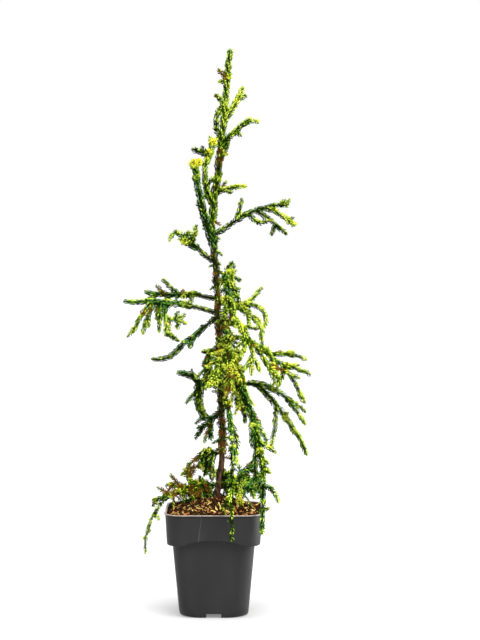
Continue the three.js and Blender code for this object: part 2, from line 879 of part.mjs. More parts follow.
// A tapering limb along a curve. `across` is a direction square to the curve's plane, `grow` makes
// the limb that much larger all round, a level limb has a horizontal foot, and `teeth` names the
// rings that have a needle's tooth.
function limbSolid(curve, across, radiusAt, shape) {
  const { sides, steps, grow = 0, level = false, pointed = false, teeth = [] } = shape;
  const swell = grow / Math.cos(Math.PI / sides);
  return ringSolid(
    sides,
    steps + 1,
    (row, column) => {
      const share = 1 - row / steps;
      const isFoot = row === steps;
      const tangent = level && isFoot ? UP.clone() : curve.getTangent(share);
      const right = squareTo(tangent, across);
      const front = right.clone().cross(tangent);
      const point = curve.getPoint(share);
      if (grow > 0 && (row === 0 || isFoot)) {
        point.addScaledVector(tangent, row === 0 ? grow : -grow);
      }
      if (column === null) {
        return point;
      }
      const isTooth = teeth[row] && row % sides === column;
      const angle = (2 * Math.PI * column) / sides + (teeth.length > 0 ? toothTwist(row) : 0);
      const radius = (radiusAt(share) + swell) * (isTooth ? TOOTH.out : 1);
      return point
        .addScaledVector(tangent, isTooth ? TOOTH.forward : 0)
        .addScaledVector(right, radius * Math.sin(angle))
        .addScaledVector(front, radius * Math.cos(angle));
    },
    pointed,
  );
}

function trunkSolid(grow = 0) {
  const across = new THREE.Vector3(0, 1, 0);
  return limbSolid(TRUNK_CURVE, across, trunkRadius, {
    sides: TRUNK.sides,
    steps: TRUNK.steps,
    grow,
    level: true,
  });
}

// A curve that bends once, in the upright plane of its heading.
function bend(root, heading, reach, rise, bow) {
  const angle = THREE.MathUtils.degToRad(heading);
  const out = new THREE.Vector3(Math.cos(angle), Math.sin(angle), 0);
  const tip = root.clone().addScaledVector(out, reach).addScaledVector(UP, rise);
  const chord = Math.hypot(reach, rise);
  const middle = root.clone().lerp(tip, 0.5);
  middle.addScaledVector(out, (-2 * bow * rise) / chord);
  middle.addScaledVector(UP, (2 * bow * reach) / chord);
  const curve = new THREE.QuadraticBezierCurve3(root, middle, tip);
  return { curve, across: new THREE.Vector3(-Math.sin(angle), Math.cos(angle), 0) };
}

// The lowest that something may reach at a place, with `margin` round it: it stays clear of the
// growing medium and the pot's rim, and beside the pot of the surface that the pot stands on.
function lowestAt(point, margin) {
  const off = Math.max(Math.abs(point.x), Math.abs(point.y)) - margin;
  if (off > POT.lipHalf) {
    return LOWEST;
  }
  const slope = (MOUND.top - MOUND.edge) / (POT.rimHalf - MOUND.crownHalf);
  return Math.max(POT.height, MOUND.top - slope * Math.max(off - MOUND.crownHalf, 0)) + GAP;
}

const claimed = [];

// Where along a straight piece its height is tested.
const PROBES = [0, 0.25, 0.5, 0.75, 1];

// Notes the space that a straight piece takes.
function claim(owner, from, to, radius) {
  claimed.push({ owner, line: new THREE.Line3(from, to), radius });
}

// Whether a straight piece stays clear of every other solid, the pot and the ground.
function isClear(owners, from, to, radius, spacing) {
  const line = new THREE.Line3(from, to);
  const isFree = claimed.every((other) => {
    const least = radius + other.radius + spacing;
    return owners.includes(other.owner) || line.distanceSqToLine3(other.line) > least * least;
  });
  const isAbove = PROBES.every((share) => {
    const point = line.at(share, new THREE.Vector3());
    return point.z - radius > lowestAt(point, radius + spacing);
  });
  return isFree && isAbove;
}

// The straight stretches of a curve, as pairs of points.
function stretches(curve, steps) {
  const points = curve.getPoints(steps);
  return points.slice(1).map((point, i) => [points[i], point]);
}

// Where a limb leaves the trunk, just under the trunk's surface on the side that it heads to.
function rootOnTrunk(plan) {
  const share = trunkShare(plan.foot);
  const angle = THREE.MathUtils.degToRad(plan.heading);
  const depth = trunkRadius(share) - TRUNK.socket;
  const out = new THREE.Vector3(Math.cos(angle), Math.sin(angle), 0);
  return TRUNK_CURVE.getPoint(share).addScaledVector(out, depth);
}

function boughOf(plan) {
  return bend(rootOnTrunk(plan), plan.heading, plan.bough.reach, plan.bough.rise, plan.bough.bow);
}

function boughSolid({ curve, across }, grow = 0) {
  const radiusAt = (share) => lerp(BOUGH.rootRadius, BOUGH.tipRadius, share);
  return limbSolid(curve, across, radiusAt, { sides: BOUGH.sides, steps: BOUGH.steps, grow });
}

function shootRadius(girth) {
  return (share) => girth * lerp(SHOOT.rootRadius, SHOOT.tipRadius, share);
}

// Lays out the shoots of a mass as curves: each keeps clear of what other masses have claimed, and
// is turned aside until it does.
function layOut(plan, seed, start) {
  const random = seededNumbers(seed);
  const own = [plan.name, plan.bough ? `bough_${plan.name}` : 'trunk'];
  const laid = [];
  plan.shoots.forEach((row, index) => {
    const parent = row.on < 0 ? null : laid[row.on];
    const jitter = [random(), random(), random()].map((value) => (2 * value - 1) * SHOOT.jitter);
    if (row.on >= 0 && !parent) {
      laid.push(null);
      return;
    }
    const root = parent ? parent.curve.getPoint(Math.min(row.at, SHOOT.joint)) : start;
    const radiusAt = shootRadius(row.girth);
    const steps = Math.max(2, Math.round(Math.hypot(row.reach, row.rise) / SHOOT.step));
    let found = null;
    for (let attempt = 0; attempt <= 2 * TURN.tries && !found; attempt += 1) {
      const side = attempt % 2 === 0 ? 1 : -1;
      const turned = side * TURN.step * Math.ceil(attempt / 2);
      const base = parent ? parent.heading : plan.heading;
      const heading = base + row.turn + turned;
      const { curve, across } = bend(root, heading, row.reach, row.rise, row.bow);
      curve.v1.add(new THREE.Vector3(...jitter));
      const pieces = stretches(curve, steps);
      const isFree = pieces.every(([from, to], i) => {
        const owners = index === 0 && i === 0 ? [...own, 'trunk'] : own;
        return isClear(owners, from, to, radiusAt(i / steps), SHOOT.spacing);
      });
      if (isFree) {
        found = { curve, across, heading, steps, radiusAt, girth: row.girth, pieces, pointed: true };
      }
    }
    if (found) {
      found.pieces.forEach(([from, to], i) => claim(plan.name, from, to, radiusAt(i / steps)));
    }
    if (found && parent && row.at > SHOOT.joint) {
      parent.pointed = false;
    }
    laid.push(found);
  });
  return laid;
}

// A unit direction that leans off an axis by `lean` degrees, turned round it by `turn` degrees.
function leaning(axis, across, lean, turn) {
  const side = across.clone().applyAxisAngle(axis, THREE.MathUtils.degToRad(turn));
  const angle = THREE.MathUtils.degToRad(lean);
  return axis.clone().multiplyScalar(Math.cos(angle)).addScaledVector(side, Math.sin(angle));
}

function spikeSolid({ from, to, radius }) {
  const length = from.distanceTo(to);
  const geometry = new THREE.CylinderGeometry(0, radius, length, SPIKE.sides, 1);
  geometry.translate(0, length / 2, 0);
  const axis = to.clone().sub(from).normalize();
  geometry.applyQuaternion(new THREE.Quaternion().setFromUnitVectors(new THREE.Vector3(0, 1, 0), axis));
  geometry.translate(from.x, from.y, from.z);
  return solidOf(geometry);
}

// Sets a spike on a shoot, or skips it where it would touch something else.
function addSpike(spikes, owner, one, share, { lean, turn, length, radius }) {
  const axis = one.curve.getTangent(share);
  const direction = leaning(axis, squareTo(axis, one.across), lean, turn);
  const from = one.curve.getPoint(share).addScaledVector(direction, SPIKE.sunk);
  const to = from.clone().addScaledVector(direction, length - SPIKE.sunk);
  if (isClear([owner], from, to, radius * SPIKE.girth, GAP)) {
    claim(owner, from, to, radius * SPIKE.girth);
    spikes.push({ from, to, radius });
  }
}

// Marks the rings of each shoot where a tooth has room, and claims its space.
function growTeeth(plan, laid) {
  laid.forEach((one) => {
    if (!one) {
      return;
    }
    one.teeth = [false];
    for (let row = 1; row < one.steps; row += 1) {
      const share = 1 - row / one.steps;
      const tangent = one.curve.getTangent(share);
      const square = squareTo(tangent, one.across);
      const angle = (2 * Math.PI * (row % SHOOT.sides)) / SHOOT.sides + toothTwist(row);
      const side = square.clone().multiplyScalar(Math.sin(angle));
      side.addScaledVector(square.clone().cross(tangent), Math.cos(angle));
      const from = one.curve.getPoint(share);
      const to = from.clone().addScaledVector(side, one.radiusAt(share) * TOOTH.out);
      to.addScaledVector(tangent, TOOTH.forward);
      const hasRoom = isClear([plan.name], from, to, TOOTH.radius, GAP);
      if (hasRoom) {
        claim(plan.name, from, to, TOOTH.radius);
      }
      one.teeth.push(hasRoom);
    }
  });
}

// Sets side twigs along each shoot, and the tufts.
function growTwigs(plan, laid, seed) {
  const random = seededNumbers(seed);
  const spikes = [];
  laid.forEach((one) => {
    if (!one) {
      return;
    }
    const count = Math.floor(one.curve.getLength() / TWIG.every);
    for (let i = 0; i < count; i += 1) {
      const share = TWIG.from + ((1 - TWIG.from) * (i + random())) / count;
      const lean = lerp(TWIG.leastLean, TWIG.mostLean, random());
      const length = lerp(TWIG.shortest, TWIG.longest, random()) * one.girth;
      addSpike(spikes, plan.name, one, share, { lean, turn: 360 * random(), length, radius: TWIG.radius });
    }
  });
  plan.tufts.forEach(({ on, at }) => {
    const one = laid[on];
    if (!one) {
      return;
    }
    const spread = TUFT.spread / one.curve.getLength();
    for (let i = 0; i < TUFT.twigs; i += 1) {
      const share = THREE.MathUtils.clamp(at + (i / TUFT.twigs - 0.5) * spread, TUFT.first, TUFT.last);
      const lean = lerp(TUFT.leastLean, TUFT.mostLean, random());
      const length = lerp(TUFT.shortest, TUFT.longest, random());
      addSpike(spikes, plan.name, one, share, { lean, turn: TUFT.turn * i, length, radius: TUFT.radius });
    }
  });
  return spikes;
}

// Sets the needles that stand out of each shoot.
function growNeedles(plan, laid, seed) {
  const random = seededNumbers(seed);
  const { lean, radius } = NEEDLE;
  const spikes = [];
  laid.forEach((one) => {
    if (!one) {
      return;
    }
    const count = Math.floor(one.curve.getLength() / NEEDLE.every);
    for (let i = 0; i < count; i += 1) {
      const share = (i + random()) / count;
      const length = lerp(NEEDLE.shortest, NEEDLE.longest, random()) * one.girth;
      addSpike(spikes, plan.name, one, share, { lean, turn: NEEDLE.turn * i, length, radius });
    }
  });
  return spikes;
}

function massSolid(laid, spikes) {
  const cores = laid
    .filter((one) => one)
    .map(({ curve, across, radiusAt, steps, pointed, teeth }) =>
      limbSolid(curve, across, radiusAt, { sides: SHOOT.sides, steps, pointed, teeth }),
    );
  return joined([...cores, ...spikes.map(spikeSolid)]);
}

const tree = new THREE.Group();
tree.name = 'potted_cedar';
tree.add(meshOf(potSolid(), 'pot', 'plastic'));
tree.add(meshOf(mediumSolid(), 'growing_medium', 'medium'));
tree.add(meshOf(trunkSolid(), 'trunk', 'bark'));
stretches(TRUNK_CURVE, TRUNK.steps).forEach(([from, to], i) => {
  claim('trunk', from, to, trunkRadius(i / TRUNK.steps));
});

const trunkSpace = trunkSolid(GAP);
const boughs = MASSES.map((plan) => (plan.bough ? boughOf(plan) : null));
boughs.forEach((bough, i) => {
  if (!bough) {
    return;
  }
  const name = `bough_${MASSES[i].name}`;
  tree.add(meshOf(largestPiece(boughSolid(bough).subtract(trunkSpace)), name, 'bark'));
  stretches(bough.curve, BOUGH.steps).forEach(([from, to]) => claim(name, from, to, BOUGH.rootRadius));
});

// All shoots are laid out first, then all twigs, then all needles and teeth, so that none takes
// the place of a longer one.
const layouts = MASSES.map((plan, i) => {
  const bough = boughs[i];
  const isLeader = plan.foot >= TRUNK_TOP;
  const below = bough ? bough.curve : TRUNK_CURVE;
  const pastTip = below.getPoint(1).addScaledVector(below.getTangent(1), GAP);
  return layOut(plan, SEEDS.shoots + SEEDS.next * i, bough || isLeader ? pastTip : rootOnTrunk(plan));
});
const twigs = MASSES.map((plan, i) => growTwigs(plan, layouts[i], SEEDS.twigs + SEEDS.next * i));
const needles = MASSES.map((plan, i) => growNeedles(plan, layouts[i], SEEDS.needles + SEEDS.next * i));
MASSES.forEach((plan, i) => growTeeth(plan, layouts[i]));

MASSES.forEach((plan, i) => {
  let solid = massSolid(layouts[i], [...twigs[i], ...needles[i]]).subtract(trunkSpace);
  if (boughs[i]) {
    solid = solid.subtract(boughSolid(boughs[i], GAP));
  }
  tree.add(meshOf(largestPiece(solid), `foliage_${plan.name}`, plan.finish));
});

export default tree;
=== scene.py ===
"""Looks of a potted weeping Japanese cedar: needled shoots, bark, growing medium and nursery pot.

Sizes of the plant and pot are in millimetres and are turned to metres where a mesh is made. The
limbs and shoots grow by the same seeded rule as the solids of the frame, and finer twigs and
needles are set on them.
"""
from __future__ import annotations

import logging
import math
from dataclasses import dataclass, field
from enum import Enum
from functools import partial
from typing import Callable, Optional, Sequence

import bmesh
import bpy
from bpy.types import ID, Material, Mesh, Node, NodeSocket, NodeTree, Object
from mathutils import Matrix, Vector, noise


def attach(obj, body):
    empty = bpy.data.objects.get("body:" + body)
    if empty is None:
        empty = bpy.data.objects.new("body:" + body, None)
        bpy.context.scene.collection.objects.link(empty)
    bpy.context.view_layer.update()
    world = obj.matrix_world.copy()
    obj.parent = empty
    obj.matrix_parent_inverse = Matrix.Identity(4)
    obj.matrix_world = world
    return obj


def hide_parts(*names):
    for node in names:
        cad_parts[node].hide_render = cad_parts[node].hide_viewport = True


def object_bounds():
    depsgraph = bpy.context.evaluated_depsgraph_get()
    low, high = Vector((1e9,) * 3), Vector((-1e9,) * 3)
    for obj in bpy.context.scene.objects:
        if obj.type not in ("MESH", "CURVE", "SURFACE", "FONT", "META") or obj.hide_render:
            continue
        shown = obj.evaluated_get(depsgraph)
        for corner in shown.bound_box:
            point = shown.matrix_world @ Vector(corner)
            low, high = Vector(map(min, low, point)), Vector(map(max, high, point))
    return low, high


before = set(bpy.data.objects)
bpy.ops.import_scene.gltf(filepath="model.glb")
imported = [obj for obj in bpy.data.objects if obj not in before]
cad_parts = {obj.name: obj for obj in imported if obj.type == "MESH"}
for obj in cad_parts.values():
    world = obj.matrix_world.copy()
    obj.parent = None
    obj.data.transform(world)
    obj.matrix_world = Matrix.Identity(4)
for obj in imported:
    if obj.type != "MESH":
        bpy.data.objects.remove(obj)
CAD_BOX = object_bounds()
LOG = logging.getLogger("potted_cedar")

MM = 0.001
UP = Vector((0, 0, 1))

# The frame's rule: clear space between solids, the height that shoots keep above the floor, and
# heights and half widths of the pot and the medium's mound.
GAP = 0.3
LOWEST = 6
POT_HEIGHT = 160
LIP_HALF = 74
RIM_HALF = 73
MOUND_TOP = 174
MOUND_EDGE = 157
MOUND_CROWN_HALF = 20

# Height, place to the right and place to the back of the trunk's middle.
TRUNK_LINE = (
    (MOUND_TOP + GAP, 3, 0), (245, 13, 1), (300, 12, -1), (400, 8, 1), (480, 6, 2), (535, 3, 0),
    (602, -3, 1),
)
TRUNK_FOOT, TRUNK_TOP = TRUNK_LINE[0][0], TRUNK_LINE[-1][0]
TRUNK_RADII = (4.7, 2.2)
TRUNK_FLARE = 2.8
TRUNK_FLARE_HEIGHT = 9
TRUNK_SOCKET = 0.8

# Radii at root and tip, and the share of them that is wood; needles fill the rest.
BOUGH_RADII = (2.3, 1.7)
BOUGH_WOOD = 0.85

SHOOT_JITTER = 1.2
SHOOT_JOINT = 0.95
GOLDEN_ANGLE = 137.5

# First seed of each rule, and the step to the next mass's seed.
SHOOT_SEED = 101
COOL_SEED = 300
TWIG_SEED = 700
TRUNK_SEED = 977
NEXT_SEED = 37

# The shoots' slow and quick wriggle: its width, how far it goes and its start in the noise. The
# noise starts at three more places for the drift along x, y and z.
WRIGGLES = ((24, 2.4, (0, 0, 0)), (9, 0.9, (31, 7, 3)))
DRIFT_STARTS = ((15.2, 28.5, 14.2), (32.1, 26.3, 53.3), (78.7, 49.6, 22.8))

# A needle's level sets its tone. Old, bronzed needles have the first one. COOL_LEVEL is added for
# a bluish green shoot, whose needles under LIT_LEVEL are as dark as any, and those from
# BRIGHT_LEVEL up as bright.
BRONZE_LEVEL = -10.0
LIT_LEVEL = 0.55
BRIGHT_LEVEL = 1.85
COOL_LEVEL = 40.0

# Kinds of node that are used often.
MATH, MAP_RANGE, MIX = "ShaderNodeMath", "ShaderNodeMapRange", "ShaderNodeMix"
ATTRIBUTE, RANDOM = "GeometryNodeInputNamedAttribute", "FunctionNodeRandomValue"
COMPARE, LOGIC = "FunctionNodeCompare", "FunctionNodeBooleanMath"
ANGLE, ROTATE = "FunctionNodeAxisAngleToRotation", "FunctionNodeRotateRotation"


class Tone(Enum):
    """Colour of a spray of needles, from old to young growth, and bluish green; the darker ones are also
    painted shade and the lighter ones painted light, by which way a needle faces.
    """

    BRONZE = -1
    DARK = 0
    GREEN = 1
    FRESH = 2
    LIME = 3
    GOLD = 4
    JADE = 5


# Level at the foot of a mass's stem, and the levels of each tone's needles.
TONE_LEVELS = {Tone.DARK: -0.6, Tone.GREEN: -0.1, Tone.LIME: 0.3, Tone.GOLD: 0.8}
TONE_LIMITS = {
    Tone.BRONZE: (-99, BRONZE_LEVEL / 2), Tone.DARK: (BRONZE_LEVEL / 2, LIT_LEVEL),
    Tone.GREEN: (LIT_LEVEL, 1.2), Tone.FRESH: (1.2, BRIGHT_LEVEL), Tone.LIME: (BRIGHT_LEVEL, 3.1),
    Tone.GOLD: (3.1, COOL_LEVEL / 2), Tone.JADE: (COOL_LEVEL / 2, 99),
}


def linear(colour: str) -> tuple[float, float, float, float]:
    """Turns an sRGB hex colour such as "#4a6a26" to linear light, with an alpha of 1."""
    channels = [int(colour[i : i + 2], 16) / 255 for i in (1, 3, 5)]
    return (*[c / 12.92 if c <= 0.04045 else ((c + 0.055) / 1.055) ** 2.4 for c in channels], 1.0)


def lerp(start: float, end: float, share: float) -> float:
    """Value a share of the way from start to end."""
    return start + (end - start) * share


def clamp(value: float, low: float = 0, high: float = 1) -> float:
    """Value held between low and high."""
    return max(low, min(high, value))


def level_way(degrees: float) -> Vector:
    """Level direction at an angle from +X towards the back."""
    return Vector((math.cos(math.radians(degrees)), math.sin(math.radians(degrees)), 0))


def wire(node: Node, inputs: dict | Sequence) -> None:
    """Sets and links inputs of a node.

    Args:
        node: The node.
        inputs: What each input takes, by name or number, or in order: a value, a socket, or a
            node whose first output it takes.
    """
    for key, value in inputs.items() if isinstance(inputs, dict) else enumerate(inputs):
        if isinstance(value, Node):
            value = value.outputs[0]
        if isinstance(value, NodeSocket):
            node.id_data.links.new(value, node.inputs[key])
        else:
            node.inputs[key].default_value = value


def add_node(tree: NodeTree, kind: str, inputs: dict | Sequence = (), **settings) -> Node:
    """Adds one node with its settings and inputs.

    Args:
        tree: Node tree that takes the node.
        kind: Node type.
        inputs: What each input takes, as in wire.
        settings: Attributes of the node.

    Returns:
        The node.
    """
    node = tree.nodes.new(kind)
    for name, value in settings.items():
        setattr(node, name, value)
    wire(node, inputs)
    return node


@dataclass
class Seeded:
    """Numbers between 0 and 1, the same ones each time for the same seed."""

    state: int

    def __call__(self) -> float:
        """The next number."""
        self.state = self.state * 16807 % 2147483647
        return self.state / 2147483647


class TrunkLine:
    """Middle line of the trunk: a smooth sway through the places of TRUNK_LINE."""

    def point(self, share: float) -> Vector:
        """Point a share of the way up the trunk.

        Args:
            share: The share.

        Returns:
            The point.
        """
        z = lerp(TRUNK_FOOT, TRUNK_TOP, share)
        i = sum(z > row[0] for row in TRUNK_LINE[1:-1])
        a, b, c, d = (TRUNK_LINE[clamp(k, 0, len(TRUNK_LINE) - 1)] for k in range(i - 1, i + 3))
        span = c[0] - b[0]
        u = (z - b[0]) / span
        sway = []
        for key in (1, 2):
            eased = b[key] + (c[key] - b[key]) * u * u * (3 - 2 * u)
            start, end = (c[key] - a[key]) / (c[0] - a[0]), (d[key] - b[key]) / (d[0] - b[0])
            sway.append(eased + span * u * (1 - u) * ((1 - u) * start - u * end))
        return Vector((*sway, z))

    def tangent(self, share: float) -> Vector:
        """Unit direction a share of the way up the trunk."""
        return (self.point(clamp(share + 1e-4)) - self.point(clamp(share - 1e-4))).normalized()

    def share_at(self, height: float) -> float:
        """How far along the trunk a height is."""
        return (height - TRUNK_FOOT) / (TRUNK_TOP - TRUNK_FOOT)

    def radius(self, share: float) -> float:
        """Radius of the trunk, with the flare over its roots."""
        flare = TRUNK_FLARE * math.exp(-share * (TRUNK_TOP - TRUNK_FOOT) / TRUNK_FLARE_HEIGHT)
        return lerp(*TRUNK_RADII, share) + flare


@dataclass
class Bend:
    """A curve that bends once."""

    root: Vector
    middle: Vector
    tip: Vector

    @staticmethod
    def headed(root: Vector, heading: float, reach: float, rise: float, bow: float) -> Bend:
        """A bend in the upright plane of its heading.

        Args:
            root: Where it starts.
            heading: Degrees from +X towards the back.
            reach: How far it goes out.
            rise: How far it goes up.
            bow: How far its middle lies off its chord.

        Returns:
            The curve.
        """
        out = level_way(heading)
        chord = math.hypot(reach, rise)
        tip = root + out * reach + UP * rise
        middle = (root + tip) / 2 + out * (-2 * bow * rise / chord) + UP * (2 * bow * reach / chord)
        return Bend(root, middle, tip)

    def point(self, share: float) -> Vector:
        """Point at a share of the curve."""
        rest = 1 - share
        return self.root * rest * rest + self.middle * (2 * rest * share) + self.tip * share * share

    def tangent(self, share: float) -> Vector:
        """Unit direction at a share of the curve."""
        return ((self.middle - self.root) * (1 - share) + (self.tip - self.middle) * share).normalized()

    def points(self, steps: int) -> list[Vector]:
        """Points at even shares."""
        return [self.point(i / steps) for i in range(steps + 1)]

    def length(self) -> float:
        """Length along the curve."""
        points = self.points(24)
        return sum((b - a).length for a, b in zip(points, points[1:]))


def bough_wood(share: float) -> float:
    """Radius of a bough's wood."""
    return BOUGH_WOOD * lerp(*BOUGH_RADII, share)


def lowest_at(point: Vector, margin: float) -> float:
    """The lowest that something may reach at a place.

    Args:
        point: The place.
        margin: Room kept round it.

    Returns:
        Height of the medium, the pot's rim, or the space kept over the floor.
    """
    off = max(abs(point.x), abs(point.y)) - margin
    if off > LIP_HALF:
        return LOWEST
    slope = (MOUND_TOP - MOUND_EDGE) / (RIM_HALF - MOUND_CROWN_HALF)
    return max(POT_HEIGHT, MOUND_TOP - slope * max(off - MOUND_CROWN_HALF, 0)) + GAP


@dataclass(frozen=True)
class Mass:
    """Plan of one mass of foliage.

    Attributes:
        name: Its name in the frame.
        tone: The tone that its piece of needles stands for.
        heading: Degrees from +X towards the back, where it leaves the trunk.
        foot: Height where it leaves the trunk.
        bough: Reach, rise and bow of the bough that carries it.
        shoots: Each one's parent, or -1 for the stem, and its place on it, turn, reach, rise, bow
            and girth. Bow is 0 and girth 1 where they are left out.
        tufts: Shoot of each cluster of stubby twigs, and its place on it.
        bushy: How close together twigs stand.
        bronze: Which tufts are old.
        aged: Share of old twigs.
        shift: Change of its level.
        crests: Each round head's shoot, its place on it, its middle's move off it, its size and level.
        marks: Shoots that differ: change of level, of girth, and of length.
        thick: Change of its shoots' girth.
        skirt: Drooping twigs of each shoot, over the medium.
        cool: Share of its shoots whose lit needles are bluish green.
    """

    name: str
    tone: Tone
    heading: float
    foot: float
    bough: Optional[tuple]
    shoots: tuple
    tufts: tuple = ()
    bushy: float = 1
    bronze: tuple = ()
    aged: float = 0.04
    shift: float = 0
    crests: tuple = ()
    marks: tuple = ()
    thick: float = 1
    skirt: int = 0
    cool: float = 0


